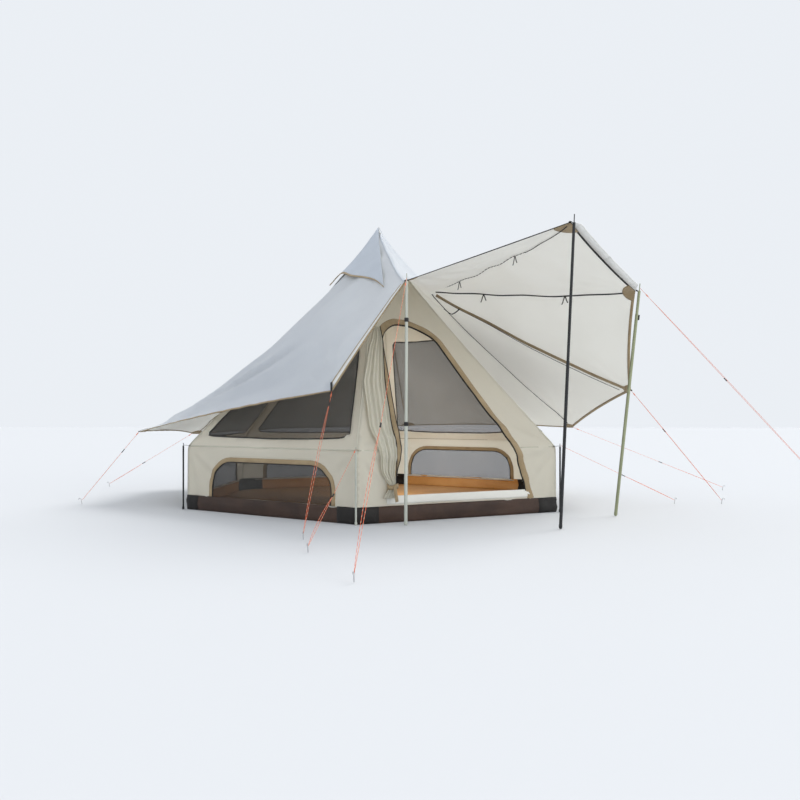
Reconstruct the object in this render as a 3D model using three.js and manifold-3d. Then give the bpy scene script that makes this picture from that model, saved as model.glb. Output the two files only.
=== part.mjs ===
// Hexagonal bell tent with a nine-cornered canopy over it, half of it raised on three poles as an awning.
// Millimetres. +Z is up, the origin is on the ground under the tent's centre, and the tent's front corner is on -Y.

import * as THREE from 'three';
import { mergeVertices } from 'three/addons/utils/BufferGeometryUtils.js';
import Module from 'manifold-3d';

const wasm = await Module();
wasm.setup();

// Driving dimensions of the inner tent
const CORNER_RADIUS = 2000;
const SIDES = 6;
const WALL_TOP = 600;
const TUB_HEIGHT = 125;
const TENT_PEAK = 2720;
const CLOTH = 3;
const GAP = 0.5;
const SEAM_GAP = 5;
const DOOR_HALF_WIDTH = 725;
const DOOR_RIGHT_LEAN = 0.31;
const DOOR_LEFT_LEAN = 0.226;
const DOOR_ARCH_MIDDLE = -100;
const DOOR_ARCH_START = 1600;
const DOOR_TOP = 1820;
const ROOF_CUT_HEIGHT = 2630;

// Driving dimensions of the canopy over the tent
const CANOPY_PEAK = new THREE.Vector3(0, 0, 2870);
const AWNING_HUB = new THREE.Vector3(508, -294, 2188);
const CANOPY_START = 0.018;
const CANOPY_SEAM_CLEARANCE = 0.0004;
const CANOPY_PANEL_SHIFT = 1.5;
const CROWN_INSET = 0.003;
const CROWN_SAG = 90;
const HEM_SCALLOP = 0.012;
const PANEL_BELLY = 35;
const VALLEY_SHARPNESS = 5;
const CANOPY_THICKNESS = 6;
const POLE_STAND_OFF = 38;

// Poles, lines and pegs
const EAVE_POLE_RADIUS = 8;
const EAVE_POLE_STAND_OFF = 40;
const LINE_RADIUS = 1.5;
const PEG_RADIUS = 3.5;
const PEG_EYE_HEIGHT = 45;
const PEG_EYE_REACH = 1.5;
const ROUND_SEGMENTS = 16;

const CANVAS = 0xd8d5c6;
const CANOPY_CLOTH = 0xc9ccd2;
const TUB_BROWN = 0x4a3730;
const BLACK_STEEL = 0x1b1c1e;
const GREY_ALUMINIUM = 0x8d958d;
const OLIVE_ALUMINIUM = 0x8a9070;
const LINE_ORANGE = 0xe07a5a;
const PEG_STEEL = 0x9a9da0;

const UP = new THREE.Vector3(0, 0, 1);
const tent = new THREE.Group();

// Returns the signed volume of an indexed closed mesh, positive where its faces point out.
function signedVolume(geometry) {
  const position = geometry.attributes.position;
  const index = geometry.index;
  const a = new THREE.Vector3();
  const b = new THREE.Vector3();
  const c = new THREE.Vector3();
  let volume = 0;
  for (let i = 0; i < index.count; i += 3) {
    a.fromBufferAttribute(position, index.getX(i));
    b.fromBufferAttribute(position, index.getX(i + 1));
    c.fromBufferAttribute(position, index.getX(i + 2));
    volume += a.dot(b.cross(c)) / 6;
  }
  return volume;
}

// Merges the shared vertices of a closed shape and turns its faces outward.
function closed(geometry) {
  geometry.deleteAttribute('normal');
  geometry.deleteAttribute('uv');
  const merged = mergeVertices(geometry, 0.001);
  if (signedVolume(merged) < 0) {
    const index = merged.index;
    for (let i = 0; i < index.count; i += 3) {
      const second = index.getX(i + 1);
      index.setX(i + 1, index.getX(i + 2));
      index.setX(i + 2, second);
    }
  }
  return merged;
}

// Turns a closed shape into a solid that can be joined or cut.
function solid(geometry) {
  const merged = closed(geometry);
  const vertProperties = new Float32Array(merged.attributes.position.array);
  const triVerts = new Uint32Array(merged.index.array);
  return new wasm.Manifold(new wasm.Mesh({ numProp: 3, vertProperties, triVerts }));
}

// Turns a joined or cut solid back into a geometry.
function fromSolid(body) {
  const mesh = body.getMesh();
  const geometry = new THREE.BufferGeometry();
  geometry.setAttribute('position', new THREE.BufferAttribute(mesh.vertProperties, 3));
  geometry.setIndex(new THREE.BufferAttribute(mesh.triVerts, 1));
  return geometry;
}

// Adds one named piece with its own material.
function piece(name, geometry, color, roughness, metalness, parent = tent) {
  geometry.computeVertexNormals();
  const material = new THREE.MeshStandardMaterial({ color, roughness, metalness });
  const mesh = new THREE.Mesh(geometry, material);
  mesh.name = name;
  parent.add(mesh);
  return mesh;
}

function cloth(name, geometry, color, parent = tent) {
  return piece(name, geometry, color, 0.85, 0, parent);
}

// Returns a closed sheet: place(across, along) gives its middle surface, each running from 0 to 1.
// Both of its sides share one grid of triangles, so it keeps its thickness where the surface twists.
function thickSheet(place, acrossSteps, alongSteps, normal, thickness) {
  const grid = new THREE.PlaneGeometry(1, 1, acrossSteps, alongSteps);
  const flat = grid.attributes.position;
  const triangles = grid.index.array;
  const columns = acrossSteps + 1;
  const under = flat.count;
  const vertices = [];
  [0.5, -0.5].forEach((side) => {
    for (let i = 0; i < flat.count; i += 1) {
      const point = place(flat.getX(i) + 0.5, flat.getY(i) + 0.5);
      vertices.push(...point.addScaledVector(normal, side * thickness).toArray());
    }
  });
  const faces = [];
  for (let i = 0; i < triangles.length; i += 3) {
    const [a, b, c] = triangles.slice(i, i + 3);
    faces.push(a, b, c, under + a, under + c, under + b);
  }
  const rim = [];
  for (let i = 0; i < acrossSteps; i += 1) rim.push(i);
  for (let i = 0; i < alongSteps; i += 1) rim.push(i * columns + acrossSteps);
  for (let i = acrossSteps; i > 0; i -= 1) rim.push(alongSteps * columns + i);
  for (let i = alongSteps; i > 0; i -= 1) rim.push(i * columns);
  rim.forEach((a, i) => {
    const b = rim[(i + 1) % rim.length];
    faces.push(a, b, under + b, a, under + b, under + a);
  });
  const sheet = new THREE.BufferGeometry();
  sheet.setAttribute('position', new THREE.Float32BufferAttribute(vertices, 3));
  sheet.setIndex(faces);
  return closed(sheet);
}

function cornerAngle(index) {
  return THREE.MathUtils.degToRad(-90 + (360 / SIDES) * index);
}

function eaveCorner(index, radius, height) {
  const angle = cornerAngle(index);
  return new THREE.Vector3(radius * Math.cos(angle), radius * Math.sin(angle), height);
}

// ---- groundsheet: a hexagonal tub with a turned-up rim ----

function hexagonPrism(radius, height) {
  const outline = new THREE.Shape();
  for (let i = 0; i < SIDES; i += 1) {
    const corner = eaveCorner(i, radius, 0);
    if (i === 0) outline.moveTo(corner.x, corner.y);
    else outline.lineTo(corner.x, corner.y);
  }
  return new THREE.ExtrudeGeometry(outline, { depth: height, bevelEnabled: false });
}

const tubOuter = solid(hexagonPrism(CORNER_RADIUS, TUB_HEIGHT));
const tubHollow = solid(hexagonPrism(CORNER_RADIUS - 2 * CLOTH, TUB_HEIGHT)).translate([0, 0, CLOTH]);
cloth('groundsheet', fromSolid(tubOuter.subtract(tubHollow)), TUB_BROWN);

// ---- six walls and six roof panels, one of each cut by the door arch ----

const SIDE_LENGTH = CORNER_RADIUS;
const APOTHEM = CORNER_RADIUS * Math.cos(Math.PI / SIDES);
const ROOF_RISE = TENT_PEAK - WALL_TOP;
const ROOF_SLOPE = Math.hypot(APOTHEM, ROOF_RISE);
const FACE_NAMES = ['door', 'right', 'back_right', 'back_left', 'left', 'front_left'];

// Where a jamb stands at a height, its side being 1 on the right and -1 on the left: each leans in by its own
// slope, and above the start of the arch both close on its middle.
function doorJamb(side, height) {
  const lean = side > 0 ? DOOR_RIGHT_LEAN : DOOR_LEFT_LEAN;
  const straight = side * (DOOR_HALF_WIDTH - (height - TUB_HEIGHT) * lean);
  const above = Math.max(0, height - DOOR_ARCH_START) / (DOOR_TOP - DOOR_ARCH_START);
  return THREE.MathUtils.lerp(DOOR_ARCH_MIDDLE, straight, Math.sqrt(Math.max(0, 1 - above ** 2)));
}

function faceGroup(index) {
  const group = new THREE.Group();
  group.rotation.z = cornerAngle(index) + Math.PI / SIDES + Math.PI / 2;
  tent.add(group);
  return group;
}

function doorOutline(side, bottom, top, steps, heightToAlong) {
  const points = [];
  for (let i = 0; i <= steps; i += 1) {
    const height = bottom + ((top - bottom) * i) / steps;
    points.push(new THREE.Vector2(doorJamb(side, height), heightToAlong(height)));
  }
  return points;
}

// A wall: across is the local X, up is the local Y of the shape, then stood upright.
function wallGeometry(hasDoor) {
  const half = SIDE_LENGTH / 2 - SEAM_GAP;
  const low = TUB_HEIGHT + GAP;
  const high = WALL_TOP - 2 * GAP;
  const outline = new THREE.Shape();
  outline.moveTo(-half, low);
  if (hasDoor) {
    const jamb = (side) => doorOutline(side, low + 30, high, 4, (height) => height);
    outline.lineTo(half, low);
    outline.lineTo(half, high);
    jamb(1).reverse().forEach((point) => outline.lineTo(point.x, point.y));
    jamb(-1).forEach((point) => outline.lineTo(point.x, point.y));
  } else {
    outline.lineTo(half, low);
    outline.lineTo(half, high);
  }
  outline.lineTo(-half, high);
  outline.closePath();
  const wall = new THREE.ExtrudeGeometry(outline, { depth: CLOTH, bevelEnabled: false });
  wall.rotateX(Math.PI / 2);
  wall.translate(0, -(APOTHEM - CLOTH - 1), 0);
  return closed(wall);
}

// A roof panel: drawn flat with its eave on X, then tilted to lean on the peak.
function roofGeometry(hasDoor) {
  const alongOf = (height) => ((height - WALL_TOP) / ROOF_RISE) * ROOF_SLOPE;
  const halfAt = (height) => ((TENT_PEAK - height) / ROOF_RISE) * (SIDE_LENGTH / 2) - SEAM_GAP;
  const low = WALL_TOP + 2 * GAP;
  const outline = new THREE.Shape();
  const eaveHalf = halfAt(low);
  const cutHalf = halfAt(ROOF_CUT_HEIGHT);
  outline.moveTo(-eaveHalf, alongOf(low));
  if (hasDoor) {
    const jamb = (side) => doorOutline(side, low, DOOR_TOP, 14, alongOf);
    jamb(-1).forEach((point) => outline.lineTo(point.x, point.y));
    jamb(1).reverse().slice(1).forEach((point) => outline.lineTo(point.x, point.y));
  }
  outline.lineTo(eaveHalf, alongOf(low));
  outline.lineTo(cutHalf, alongOf(ROOF_CUT_HEIGHT));
  outline.lineTo(-cutHalf, alongOf(ROOF_CUT_HEIGHT));
  outline.closePath();
  const roof = new THREE.ExtrudeGeometry(outline, { depth: CLOTH, bevelEnabled: false });
  roof.translate(0, 0, -CLOTH);
  roof.rotateX(Math.atan2(ROOF_RISE, APOTHEM));
  roof.translate(0, -APOTHEM, WALL_TOP);
  return closed(roof);
}

FACE_NAMES.forEach((faceName, index) => {
  const group = faceGroup(index);
  const hasDoor = faceName === 'door';
  cloth(`wall_${faceName}`, wallGeometry(hasDoor), CANVAS, group);
  cloth(`roof_${faceName}`, roofGeometry(hasDoor), CANVAS, group);
});

// The door flap is gathered into a roll along the left jamb, inside the arch.
const FLAP_RADIUS = 36;
const FLAP_INSET = 56;
const FLAP_HEIGHTS = [230, 450, 640, 900, 1200, 1480, 1590];
const flapRoute = FLAP_HEIGHTS.map((height) => {
  const inward = height < WALL_TOP ? 0 : (height - WALL_TOP) * (APOTHEM / ROOF_RISE);
  return new THREE.Vector3(doorJamb(-1, height) + FLAP_INSET, inward - APOTHEM, height);
});
const flapSection = new THREE.Shape();
flapSection.absarc(0, 0, FLAP_RADIUS, 0, 2 * Math.PI, false);
const flapRoll = new THREE.ExtrudeGeometry(flapSection, {
  steps: 14, bevelEnabled: false, extrudePath: new THREE.CatmullRomCurve3(flapRoute), curveSegments: 5,
});
cloth('door_flap_roll', closed(flapRoll), CANVAS, faceGroup(0));

// ---- round poles: a profile of [radius, height] pairs turned about the local Z ----

function turned(profile, segments = ROUND_SEGMENTS) {
  const points = profile.map(([radius, height]) => new THREE.Vector2(radius, height));
  const lathe = new THREE.LatheGeometry(points, segments);
  lathe.rotateX(Math.PI / 2);
  return closed(lathe);
}

function tube(outer, inner, bottom, top) {
  return turned([[inner, bottom], [outer, bottom], [outer, top], [inner, top], [inner, bottom]]);
}

// A tube that stands on a rubber foot, which closes its lower end.
function footedTube(outer, inner, foot, top) {
  return turned([[0, 0], [foot * 0.7, foot * 0.25], [foot, foot], [foot, foot * 2.5], [outer, foot * 2.6],
    [outer, top], [inner, top], [inner, foot * 2.6], [0, foot * 2.6]]);
}

// A tube's plug end with a shoulder and a thin spike for the grommet.
function spikedTube(outer, bottom, shoulder, spikeTop) {
  return turned([[0, bottom], [outer, bottom], [outer, shoulder], [4, shoulder + 4],
    [4, spikeTop - 4], [0, spikeTop]]);
}

// ---- centre pole: two steel sections inside the tent ----

const CENTRE_JOINT = 1420;
const centreFoot = CLOTH + GAP;
const centreLower = turned([[0, 0], [30, 0], [30, 6], [16, 14], [16, CENTRE_JOINT], [14, CENTRE_JOINT],
  [14, CENTRE_JOINT - 140], [0, CENTRE_JOINT - 140]]);
piece('centre_pole_lower', centreLower, BLACK_STEEL, 0.45, 0.6).position.z = centreFoot;
const centreUpper = turned([[0, CENTRE_JOINT - 130], [13.4, CENTRE_JOINT - 130], [13.4, CENTRE_JOINT + 1],
  [16, CENTRE_JOINT + 1], [16, 2790], [5, 2796], [5, 2842], [0, 2846]]);
piece('centre_pole_upper', centreUpper, BLACK_STEEL, 0.45, 0.6).position.z = centreFoot;

// ---- six eave poles that stand outside the corners ----

for (let i = 0; i < SIDES; i += 1) {
  const profile = [[0, 0], [EAVE_POLE_RADIUS + 3, 0], [EAVE_POLE_RADIUS + 3, 25], [EAVE_POLE_RADIUS, 27],
    [EAVE_POLE_RADIUS, WALL_TOP], [3, WALL_TOP + 4], [3, WALL_TOP + 28], [0, WALL_TOP + 30]];
  const foot = eaveCorner(i, CORNER_RADIUS + EAVE_POLE_STAND_OFF, 0);
  piece(`eave_pole_${i + 1}`, turned(profile, 12), GREY_ALUMINIUM, 0.4, 0.7).position.copy(foot);
}

// ---- canopy: triangles of cloth from the peak, or from the awning's hub on the roof ridge, to nine corners ----

// Each corner's place, and how far the seam to it hangs below a straight line.
const CANOPY_CORNERS = [
  { at: new THREE.Vector3(401, -1978, 1975), sag: 15 },
  { at: new THREE.Vector3(1695, -2151, 2390), sag: 25 },
  { at: new THREE.Vector3(2385, -1286, 1990), sag: 30 },
  { at: new THREE.Vector3(2533, -440, 1140), sag: 40 },
  { at: new THREE.Vector3(2170, 950, 757), sag: 60 },
  { at: new THREE.Vector3(187, 2567, 760), sag: 80 },
  { at: new THREE.Vector3(-2388, 1161, 677), sag: 95 },
  { at: new THREE.Vector3(-2380, -542, 731), sag: 310 },
  { at: new THREE.Vector3(-205, -1967, 1090), sag: 60 },
];

function canopyPoint(hub, first, second, across, along) {
  const a = CANOPY_CORNERS[first];
  const b = CANOPY_CORNERS[second];
  const bow = 4 * across * (1 - across);
  const hem = a.at.clone().lerp(b.at, across);
  hem.lerp(hub, HEM_SCALLOP * bow);
  const point = hub.clone().lerp(hem, along);
  const sag = THREE.MathUtils.lerp(a.sag, b.sag, across) + PANEL_BELLY * bow;
  point.z -= sag * 4 * along * (1 - along);
  return point;
}

// The wide front-left panel is one saddle: it hangs between the peak, the left corner, the front corner
// and the low corner between those two. The left seam hangs in a valley, past which the panel lies over the
// tent's front-left ridge.
function saddlePoint(across, along) {
  const left = CANOPY_CORNERS[7];
  const low = CANOPY_CORNERS[8];
  const front = CANOPY_CORNERS[0];
  const u = along * Math.min(1, 2 - 2 * across);
  const v = along * Math.min(1, 2 * across);
  const point = CANOPY_PEAK.clone().multiplyScalar((1 - u) * (1 - v));
  point.addScaledVector(left.at, u * (1 - v));
  point.addScaledVector(front.at, (1 - u) * v);
  point.addScaledVector(low.at, u * v);
  point.lerp(CANOPY_PEAK, HEM_SCALLOP * 4 * (u ** 3 * v * (1 - v) + v ** 3 * u * (1 - u)));
  point.z -= left.sag * 4 * u * (1 - u) * (1 - v) ** VALLEY_SHARPNESS + front.sag * 4 * v * (1 - v) * (1 - u);
  return point;
}

// Each panel is moved out a little from its hub, which opens an even gap along its two seams.
// Its thickness is measured straight down, so a steep panel takes more of it.
function canopyPanel(hub, first, second, surface) {
  const a = CANOPY_CORNERS[first].at.clone().sub(hub);
  const b = CANOPY_CORNERS[second].at.clone().sub(hub);
  const steepness = Math.abs(a.clone().cross(b).normalize().z);
  const shift = a.add(b).setZ(0).normalize().multiplyScalar(CANOPY_PANEL_SHIFT);
  const place = (across, along) => surface(
    THREE.MathUtils.lerp(CANOPY_SEAM_CLEARANCE, 1 - CANOPY_SEAM_CLEARANCE, across),
    THREE.MathUtils.lerp(CANOPY_START, 1, along),
  ).add(shift);
  return thickSheet(place, 6, 7, UP, CANOPY_THICKNESS / steepness);
}

const CANOPY_PANELS = [
  ['awning_front', AWNING_HUB, 0, 1],
  ['awning_side', AWNING_HUB, 1, 2],
  ['side_wing', AWNING_HUB, 2, 3],
  ['right_rear', AWNING_HUB, 3, 4],
  ['rear', CANOPY_PEAK, 4, 5],
  ['left_rear', CANOPY_PEAK, 5, 6],
  ['left', CANOPY_PEAK, 6, 7],
];
CANOPY_PANELS.forEach(([name, hub, first, second]) => {
  const surface = (across, along) => canopyPoint(hub, first, second, across, along);
  cloth(`canopy_${name}`, canopyPanel(hub, first, second, surface), CANOPY_CLOTH);
});
cloth('canopy_front_left', canopyPanel(CANOPY_PEAK, 7, 0, saddlePoint), CANOPY_CLOTH);

// The crown joins the peak to the awning: its hem runs from the front corner to the hub, then to the rear.
const CROWN_STEPS = 6;
const crownStart = CANOPY_CORNERS[0];
const crownEnd = CANOPY_CORNERS[4];
const crown = thickSheet((across, along) => {
  const half = across < 0.5 ? crownStart : crownEnd;
  const fold = Math.abs(across - 0.5) * 2 - CROWN_INSET;
  const hem = AWNING_HUB.clone().lerp(half.at, Math.max(fold, 0));
  hem.z -= half.sag * 4 * Math.max(fold, 0) * (1 - Math.max(fold, 0));
  const point = CANOPY_PEAK.clone().lerp(hem, THREE.MathUtils.lerp(CANOPY_START, 1 - CROWN_INSET, along));
  const sag = THREE.MathUtils.lerp(CROWN_SAG, half.sag, Math.max(fold, 0));
  point.z -= sag * 4 * along * (1 - along);
  return point;
}, CROWN_STEPS, 7, UP, CANOPY_THICKNESS);
cloth('canopy_crown', crown, CANOPY_CLOTH);

// The vent hood caps the canopy from the peak to a hem of its own, which stands off most on the left, over the
// vent, and comes down beside the front corner.
const HOOD_HEM = new THREE.CatmullRomCurve3([
  canopyPoint(CANOPY_PEAK, 6, 7, 0.8, 0.2),
  saddlePoint(0, 0.2),
  saddlePoint(0.35, 0.18),
  saddlePoint(0.72, 0.33),
  saddlePoint(0.88, 0.62),
  saddlePoint(0.915, 0.83),
]);
const HOOD_LIFT = 25;
const HOOD_CLEARANCE = 18;
const HOOD_START = 0.16;
const hoodNormal = new THREE.Vector3(-0.62, -0.36, 0.7).normalize();
const hood = thickSheet((across, along) => {
  const run = THREE.MathUtils.lerp(HOOD_START, 1, along);
  const point = CANOPY_PEAK.clone().lerp(HOOD_HEM.getPoint(across), run);
  const lift = HOOD_CLEARANCE + HOOD_LIFT * Math.cos((Math.PI / 2) * across) * run;
  return point.addScaledVector(hoodNormal, lift);
}, 12, 5, hoodNormal, CLOTH);
cloth('vent_hood', hood, CANOPY_CLOTH);

// ---- awning poles: telescopic, each leaning from its foot to its canopy corner ----

function polePlace(foot, cornerIndex) {
  const corner = CANOPY_CORNERS[cornerIndex].at;
  const outward = new THREE.Vector3(corner.x, corner.y, 0).normalize().multiplyScalar(POLE_STAND_OFF);
  const head = corner.clone().add(outward);
  const group = new THREE.Group();
  group.position.copy(foot);
  const lean = head.clone().sub(foot);
  group.quaternion.setFromUnitVectors(UP, lean.clone().normalize());
  tent.add(group);
  return { group, length: lean.length(), head };
}

const INSERT = 150;
const SPIKE = 60;

const frontPole = polePlace(new THREE.Vector3(401, -2016, 0), 0);
const FRONT_LOW_LOCK = 835;
const FRONT_HIGH_LOCK = 1675;
const collarProfile = [[14.8, -34], [19, -30], [19, -6], [17.5, -1], [14.8, -1], [14.8, -34]];
const collarUpperProfile = [[13.1, -34], [17.5, -30], [17.5, -6], [16, -1], [13.1, -1], [13.1, -34]];
piece('front_pole_lower', footedTube(14, 12.9, 15, FRONT_LOW_LOCK), GREY_ALUMINIUM, 0.4, 0.7, frontPole.group);
piece('front_pole_middle', tube(12.3, 11.4, FRONT_LOW_LOCK - INSERT, FRONT_HIGH_LOCK), GREY_ALUMINIUM, 0.4,
  0.7, frontPole.group);
piece('front_pole_upper', spikedTube(10.8, FRONT_HIGH_LOCK - INSERT, frontPole.length - 8,
  frontPole.length + SPIKE), GREY_ALUMINIUM, 0.4, 0.7, frontPole.group);
piece('front_pole_low_collar', turned(collarProfile), BLACK_STEEL, 0.5, 0.1,
  frontPole.group).position.z = FRONT_LOW_LOCK;
piece('front_pole_high_collar', turned(collarUpperProfile), BLACK_STEEL, 0.5, 0.1,
  frontPole.group).position.z = FRONT_HIGH_LOCK;

const tallPole = polePlace(new THREE.Vector3(1617, -2156, 0), 1);
const TALL_LOCK = 1310;
piece('tall_pole_lower', footedTube(13, 12, 14, TALL_LOCK), BLACK_STEEL, 0.4, 0.6, tallPole.group);
piece('tall_pole_upper', spikedTube(11.4, TALL_LOCK - INSERT, tallPole.length - 8, tallPole.length + SPIKE),
  BLACK_STEEL, 0.4, 0.6, tallPole.group);

const sidePole = polePlace(new THREE.Vector3(2213, -1297, 0), 2);
const SIDE_LOCK = 1790;
piece('side_pole_lower', footedTube(14, 12.9, 15, SIDE_LOCK), OLIVE_ALUMINIUM, 0.4, 0.7, sidePole.group);
piece('side_pole_upper', spikedTube(12.3, SIDE_LOCK - INSERT, sidePole.length - 8, sidePole.length + SPIKE),
  OLIVE_ALUMINIUM, 0.4, 0.7, sidePole.group);
const lever = new THREE.BoxGeometry(9, 20, 44, 1, 1, 2);
lever.translate(20.5, 0, SIDE_LOCK - 30);
piece('side_pole_lever', closed(lever), BLACK_STEEL, 0.5, 0.1, sidePole.group);

// ---- guylines: each runs straight from its fixing to a peg that leans away from it ----

function lineGeometry(from, to) {
  const section = new THREE.Shape();
  section.absarc(0, 0, LINE_RADIUS, 0, 2 * Math.PI, false);
  const route = new THREE.LineCurve3(from, to);
  return closed(new THREE.ExtrudeGeometry(section, {
    steps: 4, bevelEnabled: false, extrudePath: route, curveSegments: 4,
  }));
}

function pegGeometry() {
  const section = new THREE.Shape();
  section.absarc(0, 0, PEG_RADIUS, 0, 2 * Math.PI, false);
  const route = new THREE.CatmullRomCurve3([
    new THREE.Vector3(0, 0, 4.5),
    new THREE.Vector3(11, 0, 55),
    new THREE.Vector3(19, 0, 64),
    new THREE.Vector3(29, 0, 61),
    new THREE.Vector3(32, 0, 50),
  ]);
  return closed(new THREE.ExtrudeGeometry(section, {
    steps: 12, bevelEnabled: false, extrudePath: route, curveSegments: 4,
  }));
}

function addGuyline(name, fixing, pegPoint, clearance) {
  const away = new THREE.Vector3(pegPoint.x - fixing.x, pegPoint.y - fixing.y, 0).normalize();
  const peg = piece(`${name}_peg`, pegGeometry(), PEG_STEEL, 0.35, 0.9);
  peg.position.copy(pegPoint);
  peg.rotation.z = Math.atan2(away.y, away.x);
  const end = pegPoint.clone().addScaledVector(away, PEG_EYE_REACH);
  end.z = PEG_EYE_HEIGHT;
  const start = fixing.clone().add(end.clone().sub(fixing).normalize().multiplyScalar(clearance));
  piece(`${name}_line`, lineGeometry(start, end), LINE_ORANGE, 0.7, 0);
}

function spikePoint(pole) {
  const up = pole.head.clone().sub(pole.group.position).normalize();
  return pole.head.clone().addScaledVector(up, 20);
}

function eaveFixing(index) {
  return eaveCorner(index, CORNER_RADIUS + EAVE_POLE_STAND_OFF, WALL_TOP + 14);
}

const GUYLINES = [
  ['front_pole_guy', spikePoint(frontPole), new THREE.Vector3(256, -4272, 0), 8],
  ['side_pole_guy', spikePoint(sidePole), new THREE.Vector3(4622, -207, 0), 8],
  ['side_wing_guy', CANOPY_CORNERS[3].at, new THREE.Vector3(3464, -271, 0), 12],
  ['right_rear_guy', CANOPY_CORNERS[4].at, new THREE.Vector3(3978, 1255, 0), 12],
  ['left_rear_guy', CANOPY_CORNERS[6].at, new THREE.Vector3(-3488, 1281, 0), 12],
  ['left_guy', CANOPY_CORNERS[7].at, new THREE.Vector3(-2912, -686, 0), 12],
  ['front_left_guy', CANOPY_CORNERS[8].at, new THREE.Vector3(-281, -2834, 0), 12],
  ['front_eave_guy', eaveFixing(0), new THREE.Vector3(-150, -3371, 0), 8],
  ['right_eave_guy', eaveFixing(1), new THREE.Vector3(2995, -300, 0), 8],
];
GUYLINES.forEach(([name, fixing, pegPoint, clearance]) => addGuyline(name, fixing, pegPoint, clearance));

export default tent;
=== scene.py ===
"""Looks of the bell tent and its canopy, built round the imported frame. Metres, +Z up, origin on the ground
under the tent's peak; the front corner of the hexagon is on -Y and the canopy is raised towards +X."""
import math

import bmesh
import bpy
import numpy as np
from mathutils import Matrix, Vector, bvhtree, geometry, kdtree, noise


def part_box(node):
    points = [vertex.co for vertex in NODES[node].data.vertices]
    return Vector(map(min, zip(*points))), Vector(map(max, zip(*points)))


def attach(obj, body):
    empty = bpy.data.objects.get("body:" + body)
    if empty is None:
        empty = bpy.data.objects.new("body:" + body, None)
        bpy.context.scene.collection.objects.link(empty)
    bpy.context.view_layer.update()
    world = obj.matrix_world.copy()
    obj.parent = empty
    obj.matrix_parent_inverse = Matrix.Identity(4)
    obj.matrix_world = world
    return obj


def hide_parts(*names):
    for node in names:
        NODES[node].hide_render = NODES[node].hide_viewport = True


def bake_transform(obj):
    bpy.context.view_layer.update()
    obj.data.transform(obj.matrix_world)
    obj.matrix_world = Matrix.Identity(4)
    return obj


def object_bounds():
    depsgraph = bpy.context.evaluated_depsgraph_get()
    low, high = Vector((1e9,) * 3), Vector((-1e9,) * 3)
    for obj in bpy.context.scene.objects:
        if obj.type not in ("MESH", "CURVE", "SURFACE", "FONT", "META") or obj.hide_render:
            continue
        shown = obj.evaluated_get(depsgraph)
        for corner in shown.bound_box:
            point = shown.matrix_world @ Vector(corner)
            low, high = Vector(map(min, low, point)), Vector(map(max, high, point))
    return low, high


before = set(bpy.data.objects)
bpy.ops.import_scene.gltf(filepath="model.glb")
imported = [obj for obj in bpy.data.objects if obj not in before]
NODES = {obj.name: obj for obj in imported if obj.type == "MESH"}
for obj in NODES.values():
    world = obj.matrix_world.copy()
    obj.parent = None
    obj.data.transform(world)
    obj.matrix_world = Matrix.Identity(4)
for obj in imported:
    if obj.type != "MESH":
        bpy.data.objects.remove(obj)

CAD_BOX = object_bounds()
UP = np.array([0.0, 0.0, 1.0])

# ---------------------------------------------------------------- places taken from the frame


def node_points(node):
    return np.array([v.co for v in NODES[node].data.vertices], float)


def far_point(node, direction):
    """The point of a CAD node that reaches furthest in a direction."""
    points = node_points(node)
    return points[np.argmax(points @ np.array(direction, float))]


SIDES = 6
CORNER_RADIUS = -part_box("groundsheet")[0].y
TUB_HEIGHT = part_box("groundsheet")[1].z
APOTHEM = CORNER_RADIUS * math.cos(math.pi / SIDES)
WALL_TOP = 0.6
TENT_PEAK = 2.72
ROOF_CUT = 2.63
CLOTH = 0.0015

# The cloth is gathered to a point that stands a little over the CAD panels' tops
CANOPY_PEAK = np.array([0, 0, CAD_BOX[1][2] + 0.03])
AWNING_HUB = far_point("canopy_awning_side", (-1, 0.8, 0))
CORNERS = np.array([
    far_point("canopy_front_left", (1, -0.5, 0.5)),
    far_point("canopy_awning_side", (0, -1, 1)),
    far_point("canopy_awning_side", (1, 0, -0.5)),
    far_point("canopy_side_wing", (0.5, 0, -1)),
    far_point("canopy_right_rear", (0, 1, -1)),
    far_point("canopy_rear", (-0.3, 1, -1)),
    far_point("canopy_left_rear", (-1, 0, -1)),
    far_point("canopy_left", (-0.5, -1, -0.5)),
    far_point("canopy_front_left", (0.3, -1, -1)),
])
SEAM_SAG = np.array([0.015, 0.06, 0.035, 0.04, 0.06, 0.08, 0.095, 0.31, 0.06])
VALLEY_SHARPNESS = 5
SPIRE_DROP = 0.055
CROWN_SAG = 0.1
HEM_SCALLOP = 0.012
PANEL_BELLY = 0.035

# ---------------------------------------------------------------- camera, floor and light

camera = bpy.data.objects.new("camera", bpy.data.cameras.new("camera"))
bpy.context.scene.collection.objects.link(camera)
camera.location = (0.7646, -8.4585, 0.873)
camera.rotation_euler = (math.radians(90), 0, math.radians(3.64))
camera.data.lens = 36
camera.data.sensor_width = 36
camera.data.shift_y = 0.0214
bpy.context.scene.camera = camera


FLOOR_REACH = 60.0
FLOOR_COLOUR = (0.632, 0.645, 0.665, 1)
SKY_COLOUR = (0.83, 0.865, 0.91, 1)
# Each sun's strength, the angle it spans and its rotation in degrees, and its colour
SUNS = {
    "key": (1.8, 34, (-25, 35, 0), (1.0, 0.985, 0.96)),
    "front_fill": (1.15, 60, (84, 0, 50), (1.0, 0.99, 0.97)),
}
INNER_LAMP_WATTS = 12
INNER_LAMP_SIZE = 0.5
INNER_LAMP_PLACE = (0.1, 0.1, 0.7)
INNER_LAMP_COLOUR = (1.0, 0.985, 0.95)


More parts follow.
